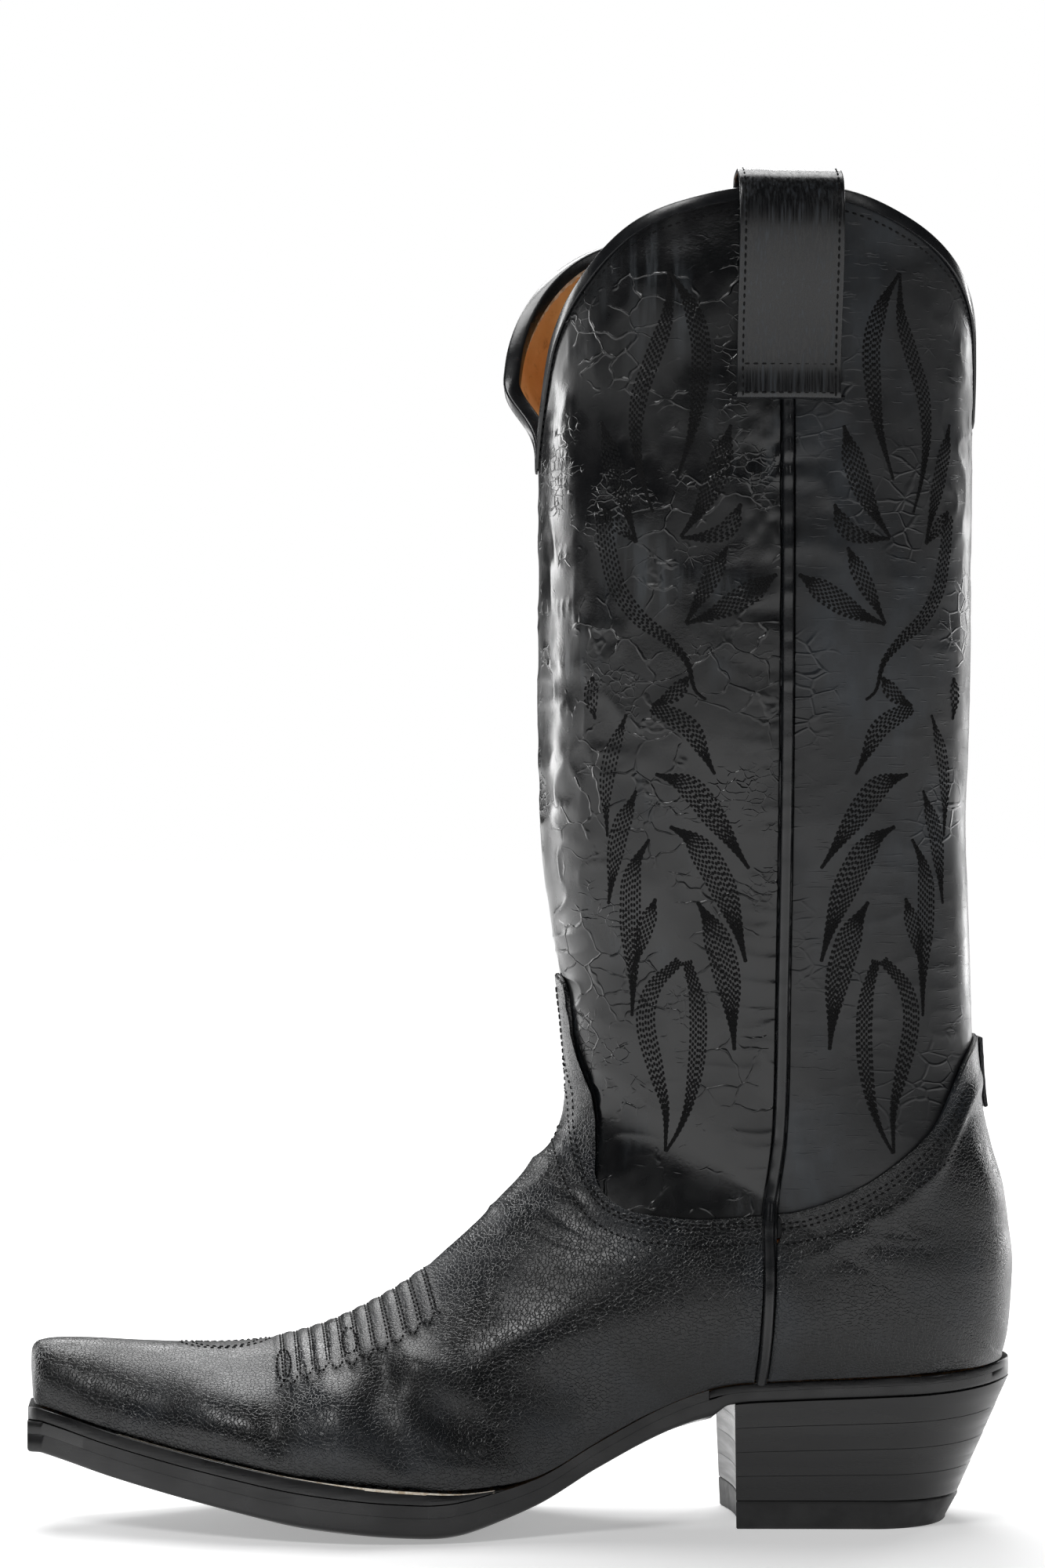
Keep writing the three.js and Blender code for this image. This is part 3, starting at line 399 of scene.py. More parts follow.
cap_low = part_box("heel_cap")[0]
panel_low, panel_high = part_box("shaft_front_panel")
SHIFT = np.array([cap_low[0] * 1000 - BREAST_X - 3.5, (panel_low[1] + panel_high[1]) * 500, 0.0])


def link(name, data):
    """Puts an object with this data into the scene."""
    item = bpy.data.objects.new(name, data)
    bpy.context.scene.collection.objects.link(item)
    return item


def build(name, points, faces, looks, slot, nodes=(), crisp=45):
    mesh = bpy.data.meshes.new(name)
    mesh.from_pydata(((np.asarray(points) + SHIFT) / 1000).tolist(), [], [list(f) for f in faces])
    mesh.validate()
    mesh.shade_smooth()
    mesh.set_sharp_from_angle(angle=math.radians(crisp))
    piece = link(name, mesh)
    mesh.materials.append(looks)
    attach(piece, "root")
    if nodes:
        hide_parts(*nodes)


def slab(over, under):
    """Points and faces of a closed piece between two grids."""
    rows, columns = over.shape[:2]
    points = np.concatenate([over.reshape(-1, 3), under.reshape(-1, 3)])
    base = rows * columns
    at = np.arange(base).reshape(rows, columns)
    a, b, c, d = at[:-1, :-1], at[1:, :-1], at[1:, 1:], at[:-1, 1:]
    faces = [np.stack([a, b, c, d], -1).reshape(-1, 4), np.stack([a, d, c, b], -1).reshape(-1, 4) + base]
    rim = np.concatenate([at[0, :-1], at[:-1, -1], at[-1, :0:-1], at[:0:-1, 0]])
    turn = np.roll(rim, -1)
    faces.append(np.stack([rim, turn, turn + base, rim + base], -1))
    faces = np.concatenate(faces)
    middle = over[rows // 2, columns // 2] - under[rows // 2, columns // 2]
    i, j = rows // 2, columns // 2
    out = np.cross(over[i, j] - over[i - 1, j], over[i, j] - over[i, j - 1])
    if np.dot(out, middle) < 0:
        faces = faces[:, ::-1]
    return points, faces


def fine(count, span, first=(0.12, 0.3, 0.6)):
    """Places from 0 to 1, close together at both ends so that edges come out rounded."""
    near = np.array(first) / span
    inner = np.linspace(near[-1] * 1.8, 1 - near[-1] * 1.8, count)
    return np.concatenate([[0], near, inner, 1 - near[::-1], [1]])


def rounding(points, radius):
    """How far a surface drops towards its four edges."""
    def reach(axis):
        step = np.linalg.norm(np.diff(points, axis=axis), axis=-1)
        start = np.zeros_like(np.take(step, [0], axis=axis))
        run = np.concatenate([start, np.cumsum(step, axis=axis)], axis=axis)
        return np.minimum(run, np.take(run, [-1], axis=axis) - run)
    d = np.clip(np.minimum(reach(0), reach(1)), 0, radius)
    return radius - np.sqrt(np.maximum(radius ** 2 - (radius - d) ** 2, 0))


def both_sides(u, v):
    grid_u = np.concatenate([u[:, ::-1], u[:, 1:]], 1)
    grid_v = np.concatenate([v[:, ::-1], v[:, 1:]], 1)
    side = np.where(np.arange(grid_u.shape[1]) < u.shape[1], -1.0, 1.0)
    return grid_u, grid_v, np.broadcast_to(side, grid_u.shape)


def leather(name, grid, outer, thickness, looks, slot, nodes, relief=None, edge=0.5):
    u, v, side = grid
    bump = relief(u, v, side) if relief else np.zeros(u.shape)
    drop = rounding(form(u, v, side), edge)
    over = on_form(u, v, side, outer + bump - drop)
    under = on_form(u, v, side, outer - thickness + bump + drop * 0.5)
    build(name, *slab(over, under), looks, slot, nodes)


def shaft_grid(lap, front, rows, columns):
    shift = -SEAM_HALF if front else SEAM_HALF
    across = fine(columns, 110)[None, :]
    line = path(lap if front else lap[::-1], 400)
    u0, v0 = locate(line[:, 0], line[:, 1])
    edge = seam_v(u0, shift)
    b0 = v0 / edge if front else (1 - v0) / (1 - edge)
    b0[0], b0[-1] = 0, 1
    place = np.linspace(0, 1, 400)
    start_u = np.interp(across, place, u0)
    start_b = np.interp(across, place, b0)

    def to_v(u, b):
        at = seam_v(u, shift)
        return b * at if front else 1 - b * (1 - at)

    top = top_ring(to_v(np.full(across.shape, 35.0), across))
    down = fine(rows, 280)[:, None]
    u = mix(start_u, top, down)
    v = to_v(u, mix(start_b, across, smooth(down, 0, 0.7)))
    return u, v


def seam_points(shift, top, count, lift):
    z = np.linspace(top, feather(67.5) + lift, count)
    return seam_x(z) + shift, z


def vamp_grid(rows, along, down, lined):
    def ends(edge, short):
        line = path(edge, along)
        u, v = locate(line[:, 0], line[:, 1])
        v[0] = 0
        x, z = seam_points(-SEAM_HALF, edge[-1][1], down, 0.5)
        su, sv = locate(x[1:], z[1:])
        sv[-1] = FOOT_EDGE
        return np.concatenate([u - short, su]), np.concatenate([v, sv])

    inner_u, inner_v = ends(VAMP_LAP, 0.35)
    outer_u, outer_v = ends(VAMP_EDGE, 0)
    b = np.interp(np.arange(len(inner_u)), [0, along - 1, len(inner_u) - 1], [0, 7 / 10, 1])[None, :]
    a = (np.arange(rows) / (rows - 1))[:, None]
    u = mix(TOE_RING, inner_u[None, :], a ** 0.8)
    v = np.minimum(mix(b, inner_v[None, :], smooth(a, 0.15, 1)), FOOT_EDGE)
    if lined:
        return both_sides(u, v)
    steps = fine(14, 12)[1:, None]
    u = np.concatenate([u, mix(inner_u[None, :], outer_u[None, :], steps)])
    v = np.concatenate([v, np.minimum(mix(inner_v[None, :], outer_v[None, :], steps), FOOT_EDGE)])
    return both_sides(u, v)


def inside_relief(u, v, side):
    z = form(u, v, side)[..., 2]
    return np.minimum(vamp_relief(u, v, side) - lap_drop(z), 0.3) + lap_drop(z) * 0.5


def counter_grid(rows, columns, lined):
    def ends(edge, lower):
        line = path(edge[::-1], columns)
        u, v = locate(line[:, 0], line[:, 1] - lower)
        v[0] = 1
        z = edge[0][1] - lower
        u[-1], v[-1] = locate(seam_x(z) + SEAM_HALF, z)
        return u[None, :], v[None, :]

    inner_u, inner_v = ends(COUNTER_LAP, 1.5)
    outer_u, outer_v = ends(COUNTER_EDGE, 0)
    start = locate(seam_x(44) + SEAM_HALF, feather(70) + SEAT_GAP)[0]
    a = fine(rows, 60)[:, None]
    b = (np.arange(columns) / (columns - 1))[None, :]
    z = mix(feather(70) + SEAT_GAP, COUNTER_LAP[0][1] - 1.5, a)
    su, sv = locate(seam_x(z) + SEAM_HALF, z)
    last_u, last_v = inner_u[0, -1], inner_v[0, -1]
    low = mix(HEEL_RING - 0.3, start, b ** 1.1)
    u = mix(low, inner_u, a) + (su - mix(start, last_u, a)) * b * b
    v = np.minimum(mix(FOOT_EDGE, inner_v, a) + (sv - mix(FOOT_EDGE, last_v, a)) * b * b, 1)
    v[:, 0] = 1
    if not lined:
        steps = fine(10, 10)[1:, None]
        u = np.concatenate([u, mix(inner_u, outer_u, steps)])
        v = np.concatenate([v, mix(inner_v, outer_v, steps)])
    return both_sides(u, v)


def tube_faces(rings, around):
    """Faces round a closed tube of rings, with both ends capped."""
    index = np.arange(rings * around).reshape(rings, around)
    turn = np.roll(index, -1, axis=1)
    faces = np.stack([index[:-1], turn[:-1], turn[1:], index[1:]], -1).reshape(-1, 4).tolist()
    return faces + [index[0, ::-1].tolist(), index[-1].tolist()]


def sweep(at, across, out, section):
    """Points and faces of a bar with one section all along a path."""
    section = np.array(section, float)
    points = at[:, None] + across[:, None] * section[None, :, :1] + out[:, None] * section[None, :, 1:]
    stops = len(points)
    faces = tube_faces(*points.shape[:2])
    ring = points[stops // 2]
    side = np.cross(ring[1] - ring[0], points[stops // 2 + 1, 0] - ring[0])
    if np.dot(side, ring[0] - ring.mean(0)) < 0:
        faces = [f[::-1] for f in faces]
    return points.reshape(-1, 3), faces


def axes_across(points, out):
    """Unit axes square to a path and to its outward axes."""
    return unit(np.cross(out, unit(np.gradient(points, axis=0))))


# ---------------------------------------------------------------- materials

class Looks:
    """A small helper for building one material's nodes."""

    def __init__(self, name, color, roughness):
        self.material = bpy.data.materials.new(name)
        self.material.use_nodes = True
        self.tree = self.material.node_tree
        self.shader = self.tree.nodes["Principled BSDF"]
        self.set("Base Color", (*color, 1))
        self.set("Roughness", roughness)
        self.place = self.add("ShaderNodeTexCoord").outputs["Object"]
        self.height = None

    def set(self, socket, value):
        self.shader.inputs[socket].default_value = value

    def add(self, kind, **inputs):
        node = self.tree.nodes.new(kind)
        for key, value in inputs.items():
            self.feed(node.inputs[key.replace("_", " ")], value)
        return node

    def feed(self, socket, value):
        if isinstance(value, bpy.types.NodeSocket):
            self.tree.links.new(value, socket)
        else:
            socket.default_value = value

    def stretched(self, scale, warp=0.0, warp_scale=60.0):
        """Object coordinates scaled per axis, optionally bent by noise."""
        mapping = self.add("ShaderNodeMapping", Vector=self.place)
        mapping.inputs["Scale"].default_value = scale
        if not warp:
            return mapping.outputs[0]
        bend = self.add("ShaderNodeTexNoise", Vector=self.place, Scale=warp_scale, Detail=2.0)
        step = self.add("ShaderNodeVectorMath", Vector=bend.outputs["Color"])
        step.operation = "SCALE"
        step.inputs["Scale"].default_value = warp
        total = self.tree.nodes.new("ShaderNodeVectorMath")
        self.feed(total.inputs[0], mapping.outputs[0])
        self.feed(total.inputs[1], step.outputs[0])
        return total.outputs[0]

    def noise(self, scale, detail=3.0, rough=0.55, vector=None):
        return self.add("ShaderNodeTexNoise", Vector=vector or self.place, Scale=scale, Detail=detail,
                        Roughness=rough).outputs["Fac"]

    def cells(self, scale, vector=None):
        node = self.add("ShaderNodeTexVoronoi", Vector=vector or self.place, Scale=scale)
        node.feature = "DISTANCE_TO_EDGE"
        return node.outputs["Distance"]

    def ramp(self, value, low, high, to_low=0.0, to_high=1.0):
        node = self.add("ShaderNodeMapRange", Value=value)
        node.interpolation_type = "SMOOTHSTEP"
        node.inputs["From Min"].default_value = low
        node.inputs["From Max"].default_value = high
        node.inputs["To Min"].default_value = to_low
        node.inputs["To Max"].default_value = to_high
        return node.outputs[0]

    def patches(self, scale, low, high, to_low=0.0, to_high=1.0, detail=3.0, rough=0.55, vector=None):
        """Soft patches: noise turned into a value between two ends."""
        return self.ramp(self.noise(scale, detail, rough, vector), low, high, to_low, to_high)

    def lines(self, scale, stretch, warp, warp_scale, width):
        """A net of thin lines between warped cells."""
        net = self.cells(scale, self.stretched(stretch, warp, warp_scale))
        return self.ramp(net, 0.0, width, 1.0, 0.0)

    def math(self, operation, a, b=0.0):
        node = self.tree.nodes.new("ShaderNodeMath")
        node.operation = operation
        self.feed(node.inputs[0], a)
        self.feed(node.inputs[1], b)
        return node.outputs[0]

    def blend(self, share, a, b):
        node = self.tree.nodes.new("ShaderNodeMix")
        node.data_type = "RGBA"
        self.feed(node.inputs[0], share)
        self.feed(node.inputs[6], a if isinstance(a, bpy.types.NodeSocket) else (*a, 1))
        self.feed(node.inputs[7], b if isinstance(b, bpy.types.NodeSocket) else (*b, 1))
        return node.outputs[2]

    def color(self, value):
        self.feed(self.shader.inputs["Base Color"], value)

    def roughness(self, value):
        self.feed(self.shader.inputs["Roughness"], value)

    def bump(self, height, depth):
        """Adds fine height, with its depth in millimetres."""
        node = self.add("ShaderNodeBump", Height=height)
        node.inputs["Strength"].default_value = 1
        node.inputs["Distance"].default_value = depth / 1000
        if self.height:
            self.feed(node.inputs["Normal"], self.height)
        self.height = node.outputs[0]
        self.feed(self.shader.inputs["Normal"], self.height)


def glazed_leather():
    """The front of the shaft: hard black glaze with a net of fine creases."""
    look = Looks("glazed_leather_look", (0.004, 0.0045, 0.005), 0.25)
    clouds = look.patches(28, 0.5, 0.72, detail=4.0, rough=0.6, vector=look.stretched((1, 1, 0.7)))
    streaks = look.patches(240, 0.42, 0.7, rough=0.6, vector=look.stretched((1, 1, 0.09)))
    scuffs = look.math("MULTIPLY", clouds, streaks)
    look.color(look.blend(scuffs, (0.0028, 0.0031, 0.0036), (0.017, 0.021, 0.025)))
    worn = look.math("MULTIPLY", scuffs, 0.25)
    look.roughness(look.math("ADD", look.patches(35, 0.35, 0.65, 0.16, 0.4), worn))
    here = look.patches(34, 0.48, 0.6, detail=4.0, rough=0.6)
    look.bump(look.math("MULTIPLY", look.lines(80, (1, 1, 1.5), 0.012, 90, 0.045), here), 0.28)
    small = look.patches(40, 0.54, 0.64, detail=4.0, rough=0.6)
    look.bump(look.math("MULTIPLY", look.lines(240, (1, 1, 1.5), 0.006, 150, 0.08), small), 0.1)
    look.bump(look.noise(900, 3.0, 0.7), 0.03)
    look.set("Specular IOR Level", 0.55)
    return look.material


def charcoal_leather():
    """The back of the shaft: smoother and cloudier."""
    look = Looks("charcoal_leather_look", (0.008, 0.009, 0.011), 0.4)
    clouds = look.patches(22, 0.42, 0.7, detail=5.0, rough=0.62, vector=look.stretched((1, 1, 0.8)))
    wipe = look.patches(150, 0.3, 0.7, 0.4, 1.0, rough=0.6, vector=look.stretched((1, 1, 0.25)))
    mist = look.math("MULTIPLY", clouds, wipe)
    look.color(look.blend(mist, (0.0045, 0.005, 0.006), (0.02, 0.025, 0.031)))
    look.roughness(look.patches(40, 0.3, 0.7, 0.28, 0.5))
    cracks = look.lines(120, (1, 1, 1.6), 0.008, 60, 0.08)
    look.bump(look.math("MULTIPLY", cracks, look.patches(26, 0.52, 0.64)), 0.16)
    look.bump(look.patches(120, 0.62, 0.68, detail=2.0, rough=0.5,
                           vector=look.stretched((1, 1, 8), 0.01, 40)), 0.04)
    look.bump(look.noise(800, 3.0, 0.7), 0.03)
    return look.material


def soft_leather():
    """The foot: soft black leather with a fine pebble grain."""
    look = Looks("soft_leather_look", (0.006, 0.0065, 0.008), 0.33)
    clouds = look.patches(26, 0.42, 0.72, detail=4.0, rough=0.6)
    look.color(look.blend(clouds, (0.0035, 0.004, 0.0045), (0.011, 0.0135, 0.017)))
    look.roughness(look.patches(45, 0.3, 0.7, 0.24, 0.4))
    look.bump(look.ramp(look.cells(900, look.stretched((1, 1, 1), 0.0006, 400)), 0.0, 0.16), 0.07)
    look.bump(look.noise(1500, 2.0, 0.6), 0.025)
    look.bump(look.noise(170, 3.0, 0.6), 0.12)
    return look.material


def plain_black(name, color, roughness, grain=0.03):
    look = Looks(name, color, roughness)
    look.roughness(look.patches(90, 0.3, 0.7, roughness * 0.8, roughness * 1.25))
    look.bump(look.noise(900, 3.0, 0.7), grain)
    return look.material


def strap_leather():
    look = Looks("strap_leather_look", (0.006, 0.0065, 0.008), 0.32)
    brush = look.noise(1500, 3.0, 0.6, look.stretched((1, 1, 0.03)))
    look.color(look.blend(look.ramp(brush, 0.5, 0.75), (0.0035, 0.0038, 0.0045), (0.016, 0.020, 0.025)))
    look.roughness(look.ramp(brush, 0.3, 0.7, 0.2, 0.42))
    look.bump(brush, 0.05)
    return look.material


def lining_leather():
    look = Looks("lining_leather_look", (0.62, 0.31, 0.11), 0.75)
    fibres = look.noise(260, 5.0, 0.65)
    clouds = look.patches(40, 0.35, 0.7, detail=4.0, rough=0.6)
    tone = look.blend(clouds, (0.88, 0.54, 0.24), (0.74, 0.38, 0.13))
    look.color(look.blend(look.ramp(fibres, 0.55, 0.78), tone, (0.48, 0.22, 0.07)))
    look.bump(fibres, 0.25)
    look.bump(look.noise(1400, 2.0, 0.6), 0.08)
    return look.material


def raw_edge():
    look = Looks("raw_edge_look", (0.72, 0.66, 0.56), 0.85)
    look.color(look.blend(look.patches(500, 0.4, 0.65), (0.78, 0.72, 0.62), (0.5, 0.4, 0.28)))
    look.bump(look.noise(700, 3.0, 0.7), 0.2)
    return look.material


def thread():
    look = Looks("thread_look", (0.003, 0.003, 0.0033), 0.85)
    look.set("Specular IOR Level", 0.2)
    look.bump(look.noise(2500, 1.0), 0.05)
    return look.material


def sole_edge():
    look = Looks("sole_leather_look", (0.006, 0.006, 0.0065), 0.32)
    look.roughness(look.patches(60, 0.3, 0.7, 0.22, 0.42))
    look.bump(look.noise(300, 3.0, 0.6, look.stretched((0.3, 0.3, 2))), 0.06)
    return look.material


def stacked_heel():
    look = Looks("stacked_heel_look", (0.006, 0.006, 0.0065), 0.32)
    layers = look.noise(260, 3.0, 0.6, look.stretched((0.08, 0.08, 1)))
    look.roughness(look.ramp(layers, 0.3, 0.7, 0.24, 0.4))
    look.bump(layers, 0.025)
    return look.material


def simple(name, color, roughness, scale=300, depth=0.06, metallic=0.0):
    look = Looks(name, color, roughness)
    dark = tuple(c * 0.7 for c in color)
    look.color(look.blend(look.patches(scale, 0.35, 0.7), color, dark))
    look.set("Metallic", metallic)
    look.bump(look.noise(scale * 3, 3.0, 0.6), depth)
    return look.material


GLAZED = glazed_leather()
CHARCOAL = charcoal_leather()
SOFT = soft_leather()
STRAP = strap_leather()
LINING = lining_leather()
RAW = raw_edge()
THREAD = thread()
STIFF = simple("stiffener_look", (0.45, 0.36, 0.24), 0.8)
SOLE = sole_edge()
HEEL = stacked_heel()
BEAD = plain_black("bead_leather_look", (0.005, 0.0055, 0.0065), 0.26)
RUBBER = plain_black("heel_rubber_look", (0.008, 0.008, 0.0085), 0.55, 0.06)

# ---------------------------------------------------------------- leather pieces


def shaft():
    front = both_sides(*shaft_grid(VAMP_LAP, True, 300, 150))
    back = both_sides(*shaft_grid(COUNTER_LAP, False, 300, 130))
    for part, grid, looks, slot in (("front", front, GLAZED, "glazed_leather"),
                                    ("back", back, CHARCOAL, "charcoal_leather")):
        leather(f"{part}_shaft_leather", grid, 0, SHAFT_LEATHER, looks, slot,
                [f"shaft_{part}_panel"], shaft_relief)
        leather(f"{part}_shaft_lining", grid, LINING_OUT, LINING_LEATHER, LINING, "lining_leather",
                [f"shaft_{part}_lining"], shaft_relief, 0.25)
        binding(part, grid, slot)
        raw_edges(part, grid)


def binding(part, grid, slot):
    u, v, side = (g[-1] for g in grid)
    bump = shaft_relief(u, v, side)
    points = on_form(u, v, side, bump)
    out = normal_at(u, v, side)
    across = axes_across(points, out)
    across = across * np.where(across[:, 2:] < 0, -1, 1)
    deep = LINING_OUT - LINING_LEATHER
    high = GAP + 0.7
    section = [[-2.6, high - 0.3], [-2.4, high], [0.4, high], [0.8, high - 0.25], [1.0, high - 0.8],
               [1.0, deep], [0.8, deep - 0.7], [0.3, deep - GAP - 0.7], [-2.6, deep - GAP - 0.7],
               [-2.6, deep - GAP], [GAP, deep - GAP], [GAP, GAP], [-2.6, GAP]]
    build(f"{part}_top_binding", *sweep(points, across, out, section), BEAD, slot,
          [f"top_binding_{part}"])


def raw_edges(part, grid):
    """The pale cut edge of the lining, just inside the binding."""
    u, v, side = (g[-1][2:-2] for g in grid)
    bump = shaft_relief(u, v, side)
    out = normal_at(u, v, side)
    edge = on_form(u, v, side, bump)
    across = axes_across(edge, out)
    across = across * np.where(across[:, 2:] < 0, -1, 1)
    ragged = noise(edge / 1.1, 71)[:, None] * 0.35
    points = edge - across * (3.1 + ragged) + out * (LINING_OUT - LINING_LEATHER - 0.25)
    section = [[-0.6, 0.3], [0.7, 0.3], [0.7, -0.3], [-0.6, -0.3]]
    build(f"{part}_lining_raw_edge", *sweep(points, across, out, section), RAW, "lining_leather")


def foot():
    inner = LAP_GAP - GAP
    leather("vamp_leather", vamp_grid(260, 90, 45, False), VAMP_OUT, VAMP_LEATHER, SOFT, "soft_leather",
            ["vamp"], vamp_relief)
    inside = vamp_grid(120, 60, 30, True)
    leather("vamp_inner_lining", inside, inner - 1.2 - GAP - 0.3, LINING_LEATHER, LINING,
            "lining_leather", ["vamp_lining"], inside_relief, 0.3)
    puff = tuple(part[:48] for part in inside)
    leather("toe_puff", puff, inner, 1.2, STIFF, "stiffener", ["toe_box"], inside_relief, 0.3)
    leather("counter_leather", counter_grid(90, 130, False), VAMP_OUT, VAMP_LEATHER, SOFT, "soft_leather",
            ["counter_cover"], counter_relief)
    leather("counter_inner_lining", counter_grid(40, 60, True), inner - 1.7 - 2 * GAP, LINING_LEATHER,
            LINING, "lining_leather", ["counter_lining"], None, 0.3)
    back_tab()


def back_tab():
    heights = mix(121.0, 142.0, fine(30, 21))
    u = bisect(lambda at: foot_z(at) - heights, HEEL_RING, LAST_RING, heights.shape)
    t = np.linspace(0, 1, 24)
    u = np.broadcast_to(u[:, None], (len(heights), len(t)))
    v = bisect(lambda at: 9 * t[None, :] - form(u, at, 1)[..., 1], 0.6, 1, u.shape)
    v[:, 0] = 1
    leather("back_tab_leather", both_sides(u, v), 3.1, 1.2, SOFT, "soft_leather", ["back_tab"],
            shaft_relief, 0.4)


def side_welt(name, side):
    z = np.linspace(46, top_edge(seam_v(np.array(35.0), 0)) - 1.2, 260)
    u, v = locate(seam_x(z), z)
    lift = smooth(z, 104, 88) * (VAMP_OUT - 0.3)
    relief = shaft_relief(u, v, side) * 0.6
    ripple = noise(np.stack([z / 3.2, z * 0, z * 0], -1), 3) * 0.12
    out = normal_at(u, v, side)
    points = form(u, v, side) + out * (lift + relief + ripple)[:, None]
    across = axes_across(points, out)
    angles = np.linspace(0, np.pi, 11)
    top = [[1.55 * math.cos(a), 0.6 + 1.5 * math.sin(a)] for a in angles]
    before = [[2.15, -1.7], [2.15, -0.7], [1.75, -0.45]]
    after = [[-1.75, -0.45], [-2.15, -0.7], [-2.15, -1.7]]
    section = before + top + after
    build(f"{name}_side_piping", *sweep(points, across, out, section), BEAD, "glazed_leather",
          [f"side_welt_{name}"])


# ---------------------------------------------------------------- pull straps

STRAP_WIDTH = 30.0
STRAP_THICKNESS = 1.6
STRAP_LOOP = 11.0
STRAP_TOP = 391.8


def strap_route():
    inside = LINING_OUT - LINING_LEATHER - 2 * GAP - 0.7 - STRAP_THICKNESS
    stand = 3.2 + STRAP_THICKNESS / 2
    top = STRAP_TOP - STRAP_THICKNESS / 2
    return [[stand, 327], [stand, 336], [mix(stand, STRAP_LOOP, 0.35), 350], [STRAP_LOOP, 366],
            [STRAP_LOOP + 1.6, 379], [STRAP_LOOP - 0.6, 387.5], [STRAP_LOOP - 6, top], [0, top],
            [inside + 1, top - 1.6], [inside, top - 6], [inside, 370], [inside, 340], [inside, 305]]


def strap_points(route, places, side, shift):
    """Points of a strap: along its route, across its width from -0.5 to 0.5, and off its middle."""
    run = unit(np.gradient(route, axis=0))
    d = route[:, :1] - run[:, 1:] * shift
    z = route[:, 1:] + run[:, :1] * shift
    x = SEAM_X + STRAP_WIDTH * places[None, :] + 0 * d
    z = z + 0 * x
    u, v = locate(x, np.minimum(z, 391))
    y = form(u, v, 1)[..., 1] - toe_swing(x)
    return np.stack([x, side * (y + d), z], -1)


def pull_strap(name, side):
    route = path(strap_route(), 200)
    places = fine(26, STRAP_WIDTH) - 0.5
    half = STRAP_THICKNESS / 2
    middle = strap_points(route, places, side, 0)
    drop = rounding(middle, 0.5)
    dent = noise(middle / np.array([9, 30, 22]), 81) * 0.25
    over = strap_points(route, places, side, half - drop + dent)
    under = strap_points(route, places, side, drop - half + dent)
    build(f"{name}_pull_strap", *slab(over, under), STRAP, "glazed_leather", [f"pull_strap_{name}"])
    at = np.array([[2.2, 327.2 + k] for k in (-0.1, 0.0, 0.1)])
    line = strap_points(at, np.linspace(-0.54, 0.54, 90), side, 0)[1]
    line[:, 2] += noise(line / 3.5, 91) * 0.45
    line[:, 1] += side * noise(line / 4.5, 92) * 0.3
    out = np.broadcast_to(np.array([0.0, side, 0.0]), line.shape)
    across = np.broadcast_to(np.array([0.0, 0.0, 1.0]), line.shape)
    turn = np.linspace(0, 2 * np.pi, 11)[:-1]
    section = [[0.75 * math.cos(a), 1.7 * math.sin(a)] for a in turn]
    build(f"{name}_strap_seam_crease", *sweep(line, across, out, section), BEAD, "glazed_leather")


# ---------------------------------------------------------------- bottom

WELT = 4.0
WELT_REACH = 8.0
MIDSOLE, MIDSOLE_WAIST = 3.2, 2.6
OUTSOLE, OUTSOLE_WAIST, OUTSOLE_SEAT = 5.2, 4.2, 3.0
RAND = 2.4
WELT_END = -8.0
HEEL_CAP = 8.5
HEEL_FOOT_X = 126.0
HEEL_FOOT_HALF = 25.0
CAP_PART = 0.2
edge_reach = curve([[-141, 4.2], [-60, 5.2], [-25, 4.6], [8, 1.6], [50, 1.4], [80, 2], [142, 2.8]])
welt_depth = curve([[-141, WELT + GAP], [-32, WELT + GAP], [-8, 0.9], [2, GAP], [60, GAP]])
ridge = curve([[-60, 0], [20, 0], [34, 1], [46, 3.4], [55, 4.4], [56, 4.5]])


def midsole_top(x):
    return feather(x) - np.where(x < 0, np.maximum(welt_depth(x), GAP), GAP)


def midsole_bottom(x):
    return midsole_top(x) - mix(MIDSOLE, MIDSOLE_WAIST, smooth(x, -20, 20))


def seat_share(x):
    return smooth(x, BREAST_X - 4, BREAST_X + 1)


def outsole_top(x):
    return mix(midsole_bottom(x) - GAP, feather(x) - RAND - GAP, seat_share(x))


def outsole_bottom(x, s):
    thick = mix(mix(OUTSOLE, OUTSOLE_WAIST, smooth(x, -25, 10)), OUTSOLE_SEAT, seat_share(x))
    ball = 3.1 * smooth(x, -110, -60) * smooth(x, 5, -15)
    waist = ridge(np.minimum(x, 56)) * (1 - seat_share(x)) * (1 - s * s)
    return np.maximum(outsole_top(x) - thick - ball * (1 - s ** 4) - waist, 0)


def underfoot(base, s, reach):
    side = np.where(s < 0, -1, 1)
    back = np.clip((base - SEAT_CENTRE) / SEAT_RADIUS, 0, 1)
    slope = (bottom_half(base + 0.5, side) - bottom_half(base - 0.5, side)) * (base < SEAT_CENTRE)
    slope = np.clip(slope, -0.6, 0.6) * smooth(base, TOE_X + 4, TOE_X + 26)
    half = bottom_half(base, side) + reach * np.sqrt(1 - back * back) * np.sqrt(1 + slope ** 2)
    x = base - reach * smooth(base, TOE_X + 25, TOE_X) + reach * back
    return x, s * np.maximum(half, 0.5) + toe_swing(x)


def stations(start, end, count):
    """Places along the foot, closer together round the heel."""
    if end <= SEAT_CENTRE:
        return mix(start, end, fine(count, end - start))
    straight = np.linspace(start, SEAT_CENTRE, count)
    turn = np.linspace(0, math.asin(min((end - SEAT_CENTRE) / SEAT_RADIUS, 0.9999)), 40)[1:]
    near = start + np.array([0.12, 0.3, 0.6])
    return np.unique(np.concatenate([straight, near, SEAT_CENTRE + SEAT_RADIUS * np.sin(turn)]))


